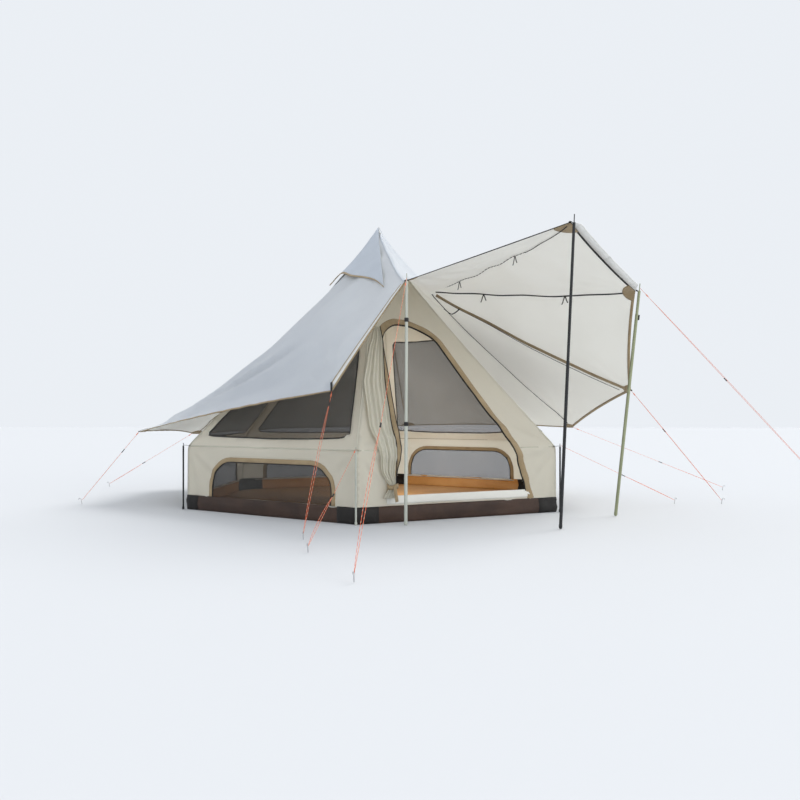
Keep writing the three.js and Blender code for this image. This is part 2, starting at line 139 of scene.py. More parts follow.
class NodeTree:
    """A new material's nodes, with short ways to add the kinds used here."""

    def __init__(self, name):
        self.material = bpy.data.materials.new(name)
        self.material.use_nodes = True
        self.nodes = self.material.node_tree.nodes
        self.shader = self.nodes["Principled BSDF"]

    def feed(self, node, inputs):
        """Sets each input to its number or colour, or links it to the output that feeds it."""
        for key, value in inputs.items():
            if isinstance(value, bpy.types.NodeSocket):
                self.material.node_tree.links.new(value, node.inputs[key])
            else:
                node.inputs[key].default_value = value

    def add(self, kind, output, inputs, **settings):
        node = self.nodes.new("ShaderNode" + kind)
        for key, value in settings.items():
            setattr(node, key, value)
        self.feed(node, inputs)
        return node.outputs[output]

    def place(self):
        return self.add("TexCoord", "Object", {})

    def noise(self, place, scale, detail, **inputs):
        return self.add("TexNoise", "Fac", {"Vector": place, "Scale": scale, "Detail": detail, **inputs})

    def maths(self, operation, *values):
        return self.add("Math", 0, dict(enumerate(values)), operation=operation)

    def bump(self, height, strength, distance, **inputs):
        return self.add("Bump", "Normal",
                        {"Height": height, "Strength": strength, "Distance": distance, **inputs})

    def ramp(self, factor, *stops):
        """Blends between two colours, each given with its place along the factor."""
        node = self.nodes.new("ShaderNodeValToRGB")
        for element, (position, colour) in zip(node.color_ramp.elements, stops):
            element.position = position
            element.color = (*colour, 1)
        self.feed(node, {"Fac": factor})
        return node.outputs["Color"]

    def mix_in(self, other, share):
        """Lets another shader take a share of the surface."""
        mixed = self.add("MixShader", "Shader", {"Fac": share, 1: self.shader.outputs["BSDF"], 2: other})
        self.feed(self.nodes["Material Output"], {"Surface": mixed})


def add_lamp(light, rotation):
    """A lamp turned by some degrees about each axis."""
    lamp = bpy.data.objects.new(light.name, light)
    lamp.rotation_euler = [math.radians(a) for a in rotation]
    bpy.context.scene.collection.objects.link(lamp)
    return lamp


def stage_and_light():
    floor_mesh = bpy.data.meshes.new("floor")
    corners = [(x * FLOOR_REACH, y * FLOOR_REACH, 0) for x, y in ((-1, -1), (1, -1), (1, 1), (-1, 1))]
    floor_mesh.from_pydata(corners, [], [(0, 1, 2, 3)])
    floor = bpy.data.objects.new("floor", floor_mesh)
    floor.location.z = -0.002
    bpy.context.scene.collection.objects.link(floor)
    tree = NodeTree("floor")
    tree.feed(tree.shader, {"Base Color": FLOOR_COLOUR, "Roughness": 0.9})
    floor.data.materials.append(tree.material)

    world = bpy.data.worlds.new("studio")
    bpy.context.scene.world = world
    world.use_nodes = True
    sky = world.node_tree.nodes["Background"]
    sky.inputs["Color"].default_value = SKY_COLOUR
    sky.inputs["Strength"].default_value = 1.0

    for name, (energy, angle, rotation, colour) in SUNS.items():
        light = bpy.data.lights.new(name, "SUN")
        light.energy, light.angle, light.color = energy, math.radians(angle), colour
        add_lamp(light, rotation)
    # Stands in for the daylight that comes through real canvas; the camera does not see the lamp itself
    light = bpy.data.lights.new("daylight_inside", "AREA")
    light.energy, light.size, light.color = INNER_LAMP_WATTS, INNER_LAMP_SIZE, INNER_LAMP_COLOUR
    lamp = add_lamp(light, (90, 0, 0))
    lamp.location, lamp.visible_camera = INNER_LAMP_PLACE, False
    bpy.context.scene.view_settings.view_transform = "Standard"


stage_and_light()

# ---------------------------------------------------------------- materials

THREAD_RELIEF = 0.0015
CREASE_RELIEF = 0.012
CORD_DASHES_PER_METRE = 22
CORD_BRAID_TURNS = 2200


def cloth_material(name, dark, light, roughness, weave=420.0, weave_depth=0.25, sheen=0.15, glow=0.0,
                   glow_colour=(1, 1, 1), blotch=1.1):
    """Woven cloth: threads along each axis in the bump, a slub, and slow changes of colour."""
    tree = NodeTree(name)
    place = tree.place()
    mottle = tree.maths("MULTIPLY_ADD", tree.noise(place, 160, 3), 0.35,
                        tree.noise(place, blotch, 6, Roughness=0.62))
    threads = [
        tree.add("TexWave", "Fac", {"Scale": weave, "Distortion": 1.5, "Detail": 1, "Vector": place},
                 wave_type="BANDS", bands_direction=direction)
        for direction in "XYZ"
    ]
    woven = tree.maths("ADD", tree.maths("ADD", threads[0], threads[1]), threads[2])
    creases = tree.noise(place, 9, 5, Distortion=0.6)
    relief = tree.bump(creases, 0.3, CREASE_RELIEF, Normal=tree.bump(woven, weave_depth, THREAD_RELIEF))
    tree.feed(tree.shader, {
        "Roughness": roughness, "Sheen Weight": sheen, "Sheen Roughness": 0.5, "Specular IOR Level": 0.3,
        "Base Color": tree.ramp(mottle, (0.42, dark), (0.86, light)), "Normal": relief,
    })
    if glow:
        tree.mix_in(tree.add("BsdfTranslucent", "BSDF", {"Color": (*glow_colour, 1)}), glow)
    return tree.material


def screen_material(name, colour, open_share):
    """Insect mesh: dark threads, and open_share of it is holes."""
    tree = NodeTree(name)
    shades = [(position, [c * factor for c in colour]) for position, factor in ((0.3, 0.75), (0.7, 1.25))]
    tree.feed(tree.shader, {
        "Roughness": 0.7, "Specular IOR Level": 0.2,
        "Base Color": tree.ramp(tree.noise(tree.place(), 2.2, 4), *shades),
    })
    tree.mix_in(tree.add("BsdfTransparent", "BSDF", {}), open_share)
    return tree.material


def metal_material(name, dark, light, roughness, metallic=0.85):
    """Drawn tube: fine streaks along the pole, and scuffs that change its roughness."""
    tree = NodeTree(name)
    place = tree.place()
    streaks = tree.noise(tree.add("Mapping", "Vector", {"Scale": (220, 220, 3), "Vector": place}), 1, 4)
    scuffed = tree.add("MapRange", "Result", {
        "To Min": roughness - 0.1, "To Max": roughness + 0.15, "Value": tree.noise(place, 28, 5),
    })
    tree.feed(tree.shader, {
        "Metallic": metallic, "Roughness": scuffed, "Normal": tree.bump(streaks, 0.12, 0.0004),
        "Base Color": tree.ramp(streaks, (0.3, dark), (0.7, light)),
    })
    return tree.material


def cord_material(name, colour, flash):
    """Braided cord with a light reflective thread that shows as dashes; reads the tube's own length."""
    tree = NodeTree(name)
    along = tree.add("Attribute", "Fac", {}, attribute_name="along")
    dashes = tree.maths("FRACT", tree.maths("MULTIPLY", along, CORD_DASHES_PER_METRE))
    braid = tree.maths("SINE", tree.maths("MULTIPLY", along, CORD_BRAID_TURNS))
    tree.feed(tree.shader, {
        "Roughness": 0.65, "Normal": tree.bump(braid, 0.3, 0.0004),
        "Base Color": tree.ramp(dashes, (0.62, colour), (0.72, flash)),
    })
    return tree.material


CANOPY_OUTSIDE = cloth_material("canopy_outside", (0.64, 0.70, 0.79), (0.75, 0.81, 0.90), 0.62, sheen=0.1,
                                glow=0.42, glow_colour=(0.90, 0.89, 0.86))
# The hood is the canopy's own cloth; its darker colour is painted shade, for the smaller share of light that
# comes through two layers
HOOD_OUTSIDE_PAINTED_SHADE = cloth_material("hood_outside_painted_shade", (0.50, 0.55, 0.62), (0.60, 0.66, 0.74), 0.62, sheen=0.1,
                              glow=0.15, glow_colour=(0.80, 0.80, 0.78))
# The canopy's underside, painted much lighter than its outside: painted light for the daylight that comes
# through the cloth
CANOPY_INSIDE_PAINTED_LIGHT = cloth_material("canopy_inside_painted_light", (0.90, 0.88, 0.80), (0.96, 0.94, 0.87), 0.8, sheen=0.1,
                               glow=0.5, glow_colour=(0.97, 0.95, 0.90))
CANVAS = cloth_material("tent_canvas", (0.72, 0.70, 0.61), (0.82, 0.80, 0.71), 0.85, glow=0.45,
                        glow_colour=(0.95, 0.93, 0.85))
# The canvas's inner face, painted lighter than its outer face: painted light for the daylight that comes
# through the canvas into the tent
CANVAS_INSIDE_PAINTED_LIGHT = cloth_material("tent_canvas_inside_painted_light", (0.90, 0.88, 0.79), (0.96, 0.94, 0.86), 0.85, glow=0.5,
                               glow_colour=(0.97, 0.95, 0.88))
SILL_CANVAS = cloth_material("sill_canvas", (0.70, 0.69, 0.63), (0.80, 0.79, 0.73), 0.8)
WHITE_CANVAS = cloth_material("white_canvas", (0.80, 0.80, 0.77), (0.90, 0.90, 0.87), 0.8, glow=0.15)
SEAM = cloth_material("canvas_seam", (0.46, 0.44, 0.36), (0.56, 0.54, 0.45), 0.8, weave=300, blotch=6)
TAN = cloth_material("tan_binding", (0.30, 0.215, 0.115), (0.43, 0.325, 0.19), 0.7, weave=300,
                     weave_depth=0.5,
                     blotch=6)
BLACK_WEBBING = cloth_material("black_webbing", (0.012, 0.012, 0.013), (0.035, 0.034, 0.032), 0.75, weave=260,
                               weave_depth=0.6, sheen=0.05, blotch=9)
MUD_SKIRT = cloth_material("mud_skirt", (0.026, 0.014, 0.010), (0.070, 0.038, 0.025), 0.5, sheen=0.05,
                           blotch=3)
SKIRT_PATCH = cloth_material("skirt_patch", (0.007, 0.006, 0.0055), (0.018, 0.015, 0.013), 0.5, sheen=0.05,
                             blotch=4)
# The tub's orange cloth, its colour raised to make up for the shade inside the tent: partly its own colour,
# partly painted light
FLOOR_CLOTH_PAINTED_LIGHT = cloth_material("floor_cloth_painted_light", (0.52, 0.235, 0.06), (0.70, 0.36, 0.12), 0.42, sheen=0.05,
                             blotch=2)
SCREEN = screen_material("insect_mesh", (0.026, 0.025, 0.022), 0.4)
# The same insect mesh seen from inside, painted grey instead of dark: painted light for the lit inside of the
# tent
SCREEN_INSIDE_PAINTED_LIGHT = screen_material("insect_mesh_inside_painted_light", (0.24, 0.24, 0.235), 0.62)
VENT_MESH = screen_material("vent_mesh", (0.02, 0.02, 0.018), 0.12)
CORD = cord_material("guyline", (0.74, 0.12, 0.04), (0.84, 0.42, 0.28))
CORD_KNOT = cloth_material("guyline_knot", (0.72, 0.12, 0.04), (0.86, 0.26, 0.12), 0.65, weave=600, blotch=30)
GREY_ALUMINIUM = metal_material("grey_aluminium", (0.42, 0.44, 0.385), (0.56, 0.58, 0.52), 0.5, 0.45)
DARK_STEEL = metal_material("dark_steel", (0.012, 0.013, 0.014), (0.03, 0.032, 0.034), 0.5, 0.3)
OLIVE_ALUMINIUM = metal_material("olive_aluminium", (0.22, 0.24, 0.14), (0.36, 0.38, 0.24), 0.5, 0.45)
BLACK_PLASTIC = metal_material("black_plastic", (0.004, 0.004, 0.0045), (0.010, 0.010, 0.011), 0.6, 0.0)
PEG_STEEL = metal_material("peg_steel", (0.45, 0.45, 0.46), (0.62, 0.62, 0.63), 0.35, 0.95)

# ---------------------------------------------------------------- mesh helpers


def make_mesh(name, points, faces, materials, slots=None, normals=None, body="tent"):
    """One smooth piece. slots gives each face's material number; body None leaves it unattached."""
    mesh = bpy.data.meshes.new(name)
    mesh.from_pydata([tuple(p) for p in points], [], [tuple(int(i) for i in f) for f in faces])
    for material in materials:
        mesh.materials.append(material)
    if slots is not None:
        mesh.polygons.foreach_set("material_index", np.array(slots, np.int32))
    mesh.polygons.foreach_set("use_smooth", np.ones(len(mesh.polygons), bool))
    mesh.update()
    if normals is None:
        turned = bmesh.new()
        turned.from_mesh(mesh)
        bmesh.ops.recalc_face_normals(turned, faces=turned.faces)
        turned.to_mesh(mesh)
        turned.free()
    else:
        mesh.normals_split_custom_set_from_vertices([tuple(n) for n in normals])
    piece = bpy.data.objects.new(name, mesh)
    bpy.context.scene.collection.objects.link(piece)
    if body:
        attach(piece, body)
    return piece


def unit(vectors):
    vectors = np.asarray(vectors, float)
    return vectors / np.maximum(np.linalg.norm(vectors, axis=-1, keepdims=True), 1e-12)


def vertex_normals(points, faces):
    """Area-weighted normals of a mesh of triangles and quads."""
    total = np.zeros_like(points)
    for face in split_to_triangles(faces):
        a, b, c = points[face[:, 0]], points[face[:, 1]], points[face[:, 2]]
        cross = np.cross(b - a, c - a)
        for k in range(3):
            for axis in range(3):
                total[:, axis] += np.bincount(face[:, k], cross[:, axis], len(points))
    return unit(total)


def split_to_triangles(faces):
    triangles = [f for f in faces if len(f) == 3]
    quads = [f for f in faces if len(f) == 4]
    found = []
    if triangles:
        found.append(np.array(triangles, int))
    if quads:
        quads = np.array(quads, int)
        found += [quads[:, [0, 1, 2]], quads[:, [0, 2, 3]]]
    return found


def loft(rings, closed=False):
    """A closed skin through rings of points; both ends are capped unless the path itself is closed."""
    rings = np.asarray(rings, float)
    count, sides = rings.shape[:2]
    faces = []
    for i in range(count if closed else count - 1):
        j = (i + 1) % count
        for k in range(sides):
            m = (k + 1) % sides
            faces.append((i * sides + k, i * sides + m, j * sides + m, j * sides + k))
    if not closed:
        faces.append(tuple(range(sides))[::-1])
        faces.append(tuple((count - 1) * sides + k for k in range(sides)))
    return rings.reshape(-1, 3), faces


def path_frames(path, first=UP):
    """Unit tangents of a path, and two unit vectors across it that don't twist."""
    path = np.asarray(path, float)
    tangents = unit(np.gradient(path, axis=0))
    side = np.cross(tangents[0], first)
    if np.linalg.norm(side) < 1e-3:
        side = np.cross(tangents[0], [1.0, 0, 0])
    sides = []
    for tangent in tangents:
        side = unit(side - tangent * (side @ tangent))
        sides.append(side)
    sides = np.array(sides)
    return tangents, sides, unit(np.cross(tangents, sides))


def tube_rings(path, radius, segments=8):
    path = np.asarray(path, float)
    _, sides, ups = path_frames(path)
    turn = np.arange(segments) * 2 * math.pi / segments
    radii = np.broadcast_to(np.asarray(radius, float), (len(path),))
    return (path[:, None] + radii[:, None, None] * (np.cos(turn)[None, :, None] * sides[:, None]
                                                    + np.sin(turn)[None, :, None] * ups[:, None]))


def smooth_path(points, count):
    """A curve through given points (Catmull-Rom), at even steps along its length."""
    points = np.asarray(points, float)
    padded = np.vstack([2 * points[0] - points[1], points, 2 * points[-1] - points[-2]])
    fine = []
    for i in range(len(points) - 1):
        a, b, c, d = padded[i:i + 4]
        t = np.linspace(0, 1, 24, endpoint=False)[:, None]
        fine.append(0.5 * (2 * b + (c - a) * t + (2 * a - 5 * b + 4 * c - d) * t ** 2
                           + (3 * b - a - 3 * c + d) * t ** 3))
    fine = np.vstack(fine + [points[-1:]])
    lengths = np.concatenate([[0], np.cumsum(np.linalg.norm(np.diff(fine, axis=0), axis=1))])
    steps = np.linspace(0, lengths[-1], count)
    return np.stack([np.interp(steps, lengths, fine[:, k]) for k in range(3)], axis=1)


def strap_rings(path, normals, width, thick):
    """Rings of a flat strap that follows a path with its face along the normals."""
    path, normals = np.asarray(path, float), unit(normals)
    sides = unit(np.cross(unit(np.gradient(path, axis=0)), normals))
    rings = []
    for across, lift in ((-1, -0.6), (-0.8, 1), (0.8, 1), (1, -0.6), (0.8, -1), (-0.8, -1)):
        rings.append(path + sides * across * width / 2 + normals * lift * thick / 2)
    return np.stack(rings, axis=1)


def length_of(path):
    return float(np.linalg.norm(np.diff(np.asarray(path), axis=0), axis=1).sum())


# ---------------------------------------------------------------- the pole tips that move, and their cloth

# Each tip's body, the outward direction in which its cloth gives, and how far from the corner that reaches
TIPS = {
    "front_upper": (CORNERS[0], unit((-0.54, -0.61, 0.58)), 0.15),
    "tall_upper": (CORNERS[1], unit((0.255, -0.856, 0.45)), 0.46),
    "side_upper": (CORNERS[2], unit((0.924, -0.2, 0.324)), 0.12),
}
TIP_SUBDIVISIONS = 2


def subdivide(points, normals, faces, slots):
    """Splits each triangle and each quad in four, so that the cloth near the tips has a finer mesh."""
    points, normals, between = list(points), list(normals), {}

    def middle(corners):
        key = tuple(sorted(corners))
        if key not in between:
            between[key] = len(points)
            normal = np.mean([normals[i] for i in corners], axis=0)
            points.append(np.mean([points[i] for i in corners], axis=0))
            length = np.linalg.norm(normal)
            normals.append(normal / length if length > 0.1 else normals[corners[0]])
        return between[key]

    smaller = []
    for face in faces:
        middles = [middle((face[k], face[(k + 1) % len(face)])) for k in range(len(face))]
        if len(face) == 3:
            smaller += [[face[k], middles[k], middles[k - 1]] for k in range(3)] + [middles]
        else:
            centre = middle(tuple(face))
            smaller += [[face[k], middles[k], centre, middles[k - 1]] for k in range(4)]
    return np.array(points), np.array(normals), smaller, [kind for kind in slots for _ in range(4)]


def lay_over_tips(name, points, faces, materials, slots, normals, replaces):
    """Makes a two-layered cloth that hangs on the tent and on the three pole tips.

    It is split where each tip's pull begins. Its lower layer's points follow the upper layer's, in one order.
    """
    points = np.asarray(points, float)
    owner = np.zeros(len(faces), int)
    for number, (corner, outward, reach) in enumerate(TIPS.values(), 1):
        pull = (points - corner) @ outward
        for f, face in enumerate(faces):
            if max(pull[i] for i in face) > -reach:
                owner[f] = number
    made = []
    for number, body in enumerate(["tent", *TIPS]):
        chosen = np.flatnonzero(owner == number)
        if not len(chosen):
            continue
        own = [list(faces[f]) for f in chosen]
        own_slots = [slots[f] for f in chosen]
        below = len(points) // 2
        edges = {(f[k - 1], f[k]) for f in own for k in range(len(f))}
        for a, b in sorted(edges):
            if (b, a) not in edges and a < below and b < below:
                own.append([b, a, a + below, b + below])
                own_slots.append(0)
        used = sorted({i for f in own for i in f})
        place = {old: new for new, old in enumerate(used)}
        places, own_normals = points[used], normals[used]
        own = [[place[i] for i in f] for f in own]
        if number:
            for _ in range(TIP_SUBDIVISIONS):
                places, own_normals, own, own_slots = subdivide(places, own_normals, own, own_slots)
        part = make_mesh(name if number == 0 else f"{name}_{tip_word(body)}", places, own, materials,
                         own_slots,
                         own_normals, "tent" if number == 0 else None)
        if number:
            corner, outward, reach = TIPS[body]
            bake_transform(part)
        made.append(part)
    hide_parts(*replaces)
    return made


def tip_word(body):
    return body.replace("_upper", "_tip")


def loft_over_tips(name, rings, material):
    """A loft that hangs on the tent and on the pole tips: its path is split where each tip's pull begins."""
    rings = np.asarray(rings, float)
    owner = np.zeros(len(rings), int)
    for number, (corner, outward, reach) in enumerate(TIPS.values(), 1):
        owner[((rings - corner) @ outward).max(axis=1) > -reach] = number
    made, start = [], 0
    while start < len(rings):
        end = start
        while end + 1 < len(rings) and owner[end + 1] == owner[start]:
            end += 1
        number = owner[start]
        first, last = (max(start - 1, 0), min(end + 1, len(rings) - 1)) if number else (start, end)
        if last > first:
            body = ["tent", *TIPS][number]
            points, faces = loft(rings[first:last + 1])
            part = make_mesh(f"{name}_{tip_word(body)}_{len(made)}", points, faces, [material],
                             body=None if number else "tent")
            if number:
                corner, outward, reach = TIPS[body]
                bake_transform(part)
            made.append(part)
        start = end + 1
    return made


# ---------------------------------------------------------------- guylines

LINE_RADIUS = 0.0015


def line_ends(name):
    """The two ends of a guyline's CAD rod, the fixing first and the peg last."""
    points = node_points(f"{name}_line")
    order = points[:, 2].argsort()
    return points[order[-8:]].mean(0), points[order[:8]].mean(0)


def bead(name, centre, along, profile, material, body, flat=1.0):
    """A small turned lump on a line: profile is (distance along, radius) pairs."""
    along = unit(along)
    side = unit(np.cross(along, [0.3, 0.2, 0.9]))
    other = np.cross(along, side)
    turn = np.arange(12) * math.pi / 6
    rings = [centre + along * x + radius * (np.cos(turn)[:, None] * side + flat * np.sin(turn)[:,
                                                                                               None] * other)
             for x, radius in profile]
    points, faces = loft(rings)
    return follow_line(make_mesh(name, points, faces, [material], body=None), body)


def follow_line(piece, body):
    """Makes a piece ride on the tent; any other piece is left unattached, with its place baked into its
    points.
    """
    if body == "tent":
        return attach(piece, "tent")
    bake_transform(piece)
    return piece


KNOT = [(-0.014, 0.002), (-0.011, 0.005), (-0.006, 0.0035), (0.0, 0.006), (0.006, 0.0038), (0.011, 0.0055),
        (0.016, 0.002)]
RUNNER = [(-0.024, 0.003), (-0.02, 0.0068), (-0.005, 0.0058), (0.005, 0.0058), (0.02, 0.0068), (0.024, 0.003)]


def add_strand(name, path, body, replaced=None):
    """One taut braided strand along a path."""
    points, faces = loft(tube_rings(path, LINE_RADIUS, 8))
    line = make_mesh(name, points, faces, [CORD], body=None)
    along = line.data.attributes.new("along", "FLOAT", "POINT")
    along.data.foreach_set("value", np.repeat(np.linspace(0, length_of(path), len(path)),
                                              8).astype(np.float32))
    follow_line(line, body)
    if replaced:
        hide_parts(replaced)


def add_line(name, start, end, body, double_from, runner_at):
    """A guyline with its knot and its runner, and the second strand that comes back from the peg."""
    knot = bead(f"{name}_knot", start + (end - start) * 0.03, end - start, KNOT, CORD_KNOT, body)
    runner = bead(f"{name}_runner", start + (end - start) * runner_at, end - start, RUNNER, BLACK_PLASTIC,
                  body,
                  0.6)
    add_strand(f"{name}_cord", np.linspace(start, end, 30), body, f"{name}_line")
    share = np.linspace(0, 1, 24)[:, None]
    aside = unit(np.cross(end - start, UP)) * STRAND_BOW
    second = start + (end - start) * (double_from + (1 - double_from) * share)
    add_strand(f"{name}_return", second + aside * np.sin(math.pi * share) ** 0.7, body)


STRAND_BOW = 0.016
LINES = {
    # each line's body, where its second strand begins, and its runner's place
    "front_pole_guy": ("front_upper", 0.62, 0.6), "side_pole_guy": ("side_upper", 0.05, 0.4),
    "side_wing_guy": ("tent", 0.04, 0.36), "right_rear_guy": ("tent", 0.6, 0.58),
    "left_rear_guy": ("tent", 0.6, 0.58), "left_guy": ("tent", 0.3, 0.28),
    "front_left_guy": ("tent", 0.08, 0.1),
    "front_eave_guy": ("tent", 0.55, 0.53), "right_eave_guy": ("tent", 0.55, 0.53),
}
for line_name, (line_body, doubled, runner_place) in LINES.items():
    add_line(line_name, *line_ends(line_name), line_body, doubled, runner_place)

# ---------------------------------------------------------------- canopy cloth

ACROSS = 34
ALONG = 42


def canopy_point(hub, first, second, across, along):
    bow = 4 * across * (1 - across)
    hem = CORNERS[first] * (1 - across) + CORNERS[second] * across
    hem = hem + (hub - hem) * HEM_SCALLOP * bow
    point = hub + (hem - hub) * along
    sag = SEAM_SAG[first] * (1 - across) + SEAM_SAG[second] * across + PANEL_BELLY * bow
    return point - UP * sag * 4 * along * (1 - along)


def saddle_point(across, along):
    u = along * min(1, 2 - 2 * across)
    v = along * min(1, 2 * across)
    left, low, front = CORNERS[7], CORNERS[8], CORNERS[0]
    point = (CANOPY_PEAK * (1 - u) * (1 - v) + left * u * (1 - v) + front * (1 - u) * v + low * u * v)
    point = point + (CANOPY_PEAK - point) * HEM_SCALLOP * 4 * (u ** 3 * v * (1 - v) + v ** 3 * u * (1 - u))
    sag = SEAM_SAG[7] * 4 * u * (1 - u) * (1 - v) ** VALLEY_SHARPNESS + SEAM_SAG[0] * 4 * v * (1 - v) * (1
                                                                                                         - u)
    return point - UP * sag


def crown_point(across, along):
    end = 0 if across < 0.5 else 4
    fold = abs(across - 0.5) * 2
    hem = AWNING_HUB + (CORNERS[end] - AWNING_HUB) * fold - UP * SEAM_SAG[end] * 4 * fold * (1 - fold)
    point = CANOPY_PEAK + (hem - CANOPY_PEAK) * along
    return point - UP * (SEAM_SAG[end] * fold + CROWN_SAG * (1 - fold)) * 4 * along * (1 - along)


def grid(surface, across_steps):
    return np.array([[surface(i / across_steps, j / ALONG) for i in range(across_steps + 1)]
                     for j in range(ALONG + 1)])


def hub_panel(hub, first, second):
    return grid(lambda across, along: canopy_point(hub, first, second, across, along), ACROSS)


GRIDS = {
    "awning_front": hub_panel(AWNING_HUB, 0, 1),
    "awning_side": hub_panel(AWNING_HUB, 1, 2),
    "side_wing": hub_panel(AWNING_HUB, 2, 3),
    "right_rear": hub_panel(AWNING_HUB, 3, 4),
    "rear": hub_panel(CANOPY_PEAK, 4, 5),
    "left_rear": hub_panel(CANOPY_PEAK, 5, 6),
    "left": hub_panel(CANOPY_PEAK, 6, 7),
    "front_left": grid(saddle_point, 2 * ACROSS),
    "crown": grid(crown_point, 2 * ALONG),
}


def merge(points, reach):
    """Which point each becomes when those closer than the reach are one, and where each is first seen."""
    tree = kdtree.KDTree(len(points))
    for i, p in enumerate(points):
        tree.insert(p, i)
    tree.balance()
    becomes = np.full(len(points), -1)
    first = []
    for i, p in enumerate(points):
        if becomes[i] < 0:
            for _, k, _ in tree.find_range(p, reach):
                if becomes[k] < 0:
                    becomes[k] = len(first)
            first.append(i)
    return becomes, first


def spire(points):
    """How far the cloth falls below its even shape round the peak, where it is drawn up to a sharp point."""
    radius = np.hypot(points[..., 0], points[..., 1])
    return SPIRE_DROP * (1 - np.exp(-radius / 0.09)) * np.exp(-(radius / 0.75) ** 2)


RELAX_ROUNDS = 45
# How far a point moves towards its neighbours in a round: in open cloth, on a seam and at the awning's hub
CLOTH_GIVE, SEAM_GIVE, HUB_GIVE = 0.5, 0.14, 0.02
PEAK_HOLD = 0.5
# Heights of the slow waves and how closely they follow each other
SLOW_WAVES = ((0.012, 0.9), (0.0035, 3.1))
# Distances from the hem and the peak within which folds fade, and the share that is left on the hem
HEM_FADE, PEAK_FADE, HEM_SHARE = 0.22, 0.3, 0.12


class Canopy:
    """The whole canopy as one sheet: the panels' grids merged along their seams, relaxed, then creased."""

    def __init__(self):
        stacked = np.vstack([g.reshape(-1, 3) for g in GRIDS.values()])
        inverse, first = merge(stacked, 1e-4)
        self.points = stacked[first]
        self.index = {}
        self.faces = []
        start = 0
        for name, g in GRIDS.items():
            rows, columns = g.shape[:2]
            ids = inverse[start:start + rows * columns].reshape(rows, columns)
            start += rows * columns
            self.index[name] = ids
            for j in range(rows - 1):
                for i in range(columns - 1):
                    loop = [ids[j, i], ids[j + 1, i], ids[j + 1, i + 1], ids[j, i + 1]]
                    face = [p for k, p in enumerate(loop) if p != loop[k - 1]]
                    self.faces += [[face[0], b, c] for b, c in zip(face[1:-1], face[2:])]
        self.turn_up()
        self.relax(RELAX_ROUNDS)
        self.points[:, 2] -= spire(self.points)
        self.crease()
        self.normals = vertex_normals(self.points, self.faces)
        self.tree = bvhtree.BVHTree.FromPolygons([tuple(p) for p in self.points], self.faces)

    def turn_up(self):
        normals = vertex_normals(self.points, self.faces)
        if normals[:, 2].sum() < 0:
            self.faces = [f[::-1] for f in self.faces]

    def relax(self, rounds):
        """Evens the cloth's tension: each point moves towards the middle of its neighbours, seams less."""
        count = len(self.points)
        edges = np.unique(np.sort(np.array(
            [(f[k - 1], f[k]) for f in self.faces for k in range(len(f))]), axis=1), axis=0)
        degree = np.bincount(edges.ravel(), minlength=count)[:, None]
        give = np.full(count, CLOTH_GIVE)
        for name, ids in self.index.items():
            give[ids[:, [0, -1]]] = SEAM_GIVE
        for name, ids in self.index.items():
            if name != "crown":
                give[ids[-1]] = 0.0
        from_peak = np.linalg.norm(self.points - CANOPY_PEAK, axis=1)
        give[from_peak.argmin()] = 0.0
        give[np.linalg.norm(self.points - AWNING_HUB, axis=1).argmin()] = HUB_GIVE
        give = give * np.clip(from_peak / PEAK_HOLD, 0, 1)
        for _ in range(rounds):
            total = np.stack([
                np.bincount(edges[:, 0], self.points[edges[:, 1], axis], count)
                + np.bincount(edges[:, 1], self.points[edges[:, 0], axis], count)
                for axis in range(3)], axis=1)
            self.points += give[:, None] * (total / degree - self.points)

    def crease(self):
        """Adds the folds that run out of each pulled corner, and slow waves, along the cloth's normals."""
        normals = vertex_normals(self.points, self.faces)
        height = np.zeros(len(self.points))
        folds = [
            # corner, how far its folds reach, their height, how many there are in a turn, seed
            (7, 3.0, 0.034, 26, 3), (8, 0.7, 0.012, 13, 5), (0, 1.4, 0.022, 16, 8), (6, 1.4, 0.012, 24, 9),
            (5, 1.0, 0.010, 20, 12), (4, 0.8, 0.009, 18, 14), (3, 0.6, 0.006, 16, 17),
            (2, 0.5, 0.005, 18, 20), (1, 0.5, 0.005, 18, 23),
        ]
        for corner, reach, size, count, seed in folds:
            height += radiating(self.points, CORNERS[corner], reach, size, count, seed, normals)
        height += radiating(self.points, CANOPY_PEAK, 0.8, 0.006, 9, 31, normals)
        for i, p in enumerate(self.points):
            height[i] += sum(size * noise.noise(Vector(p * pitch)) for size, pitch in SLOW_WAVES)
        self.points += normals * (height * self.free())[:, None]

    def free(self):
        """How far the folds show: nothing at the peak, little on the hems, all of it well inside the cloth."""
        hems = np.vstack([self.points[ids[-1]] for name, ids in self.index.items() if name != "crown"])
        hems = np.vstack([hems, CANOPY_PEAK])
        near = np.full(len(self.points), 9.0)
        for p in hems[::3]:
            near = np.minimum(near, np.linalg.norm(self.points - p, axis=1))
        from_peak = np.linalg.norm(self.points - CANOPY_PEAK, axis=1)
        return np.clip(near / HEM_FADE, HEM_SHARE, 1) * np.clip(from_peak / PEAK_FADE, 0, 1)

    def sample(self, panel, across, along, lift=0.0):
        """A point on the finished cloth at a panel's own coordinates, lifted along the normal."""
        ids = self.index[panel]
        x = np.clip(across, 0, 1) * (ids.shape[1] - 1)
        y = np.clip(along, 0, 1) * (ids.shape[0] - 1)
        i, j = min(int(x), ids.shape[1] - 2), min(int(y), ids.shape[0] - 2)
        s, t = x - i, y - j
        weights = ((1 - s) * (1 - t), s * (1 - t), (1 - s) * t, s * t)
        corners = (ids[j, i], ids[j, i + 1], ids[j + 1, i], ids[j + 1, i + 1])
        point = sum(w * self.points[c] for w, c in zip(weights, corners))
        normal = unit(sum(w * self.normals[c] for w, c in zip(weights, corners)))
        return point + normal * lift, normal

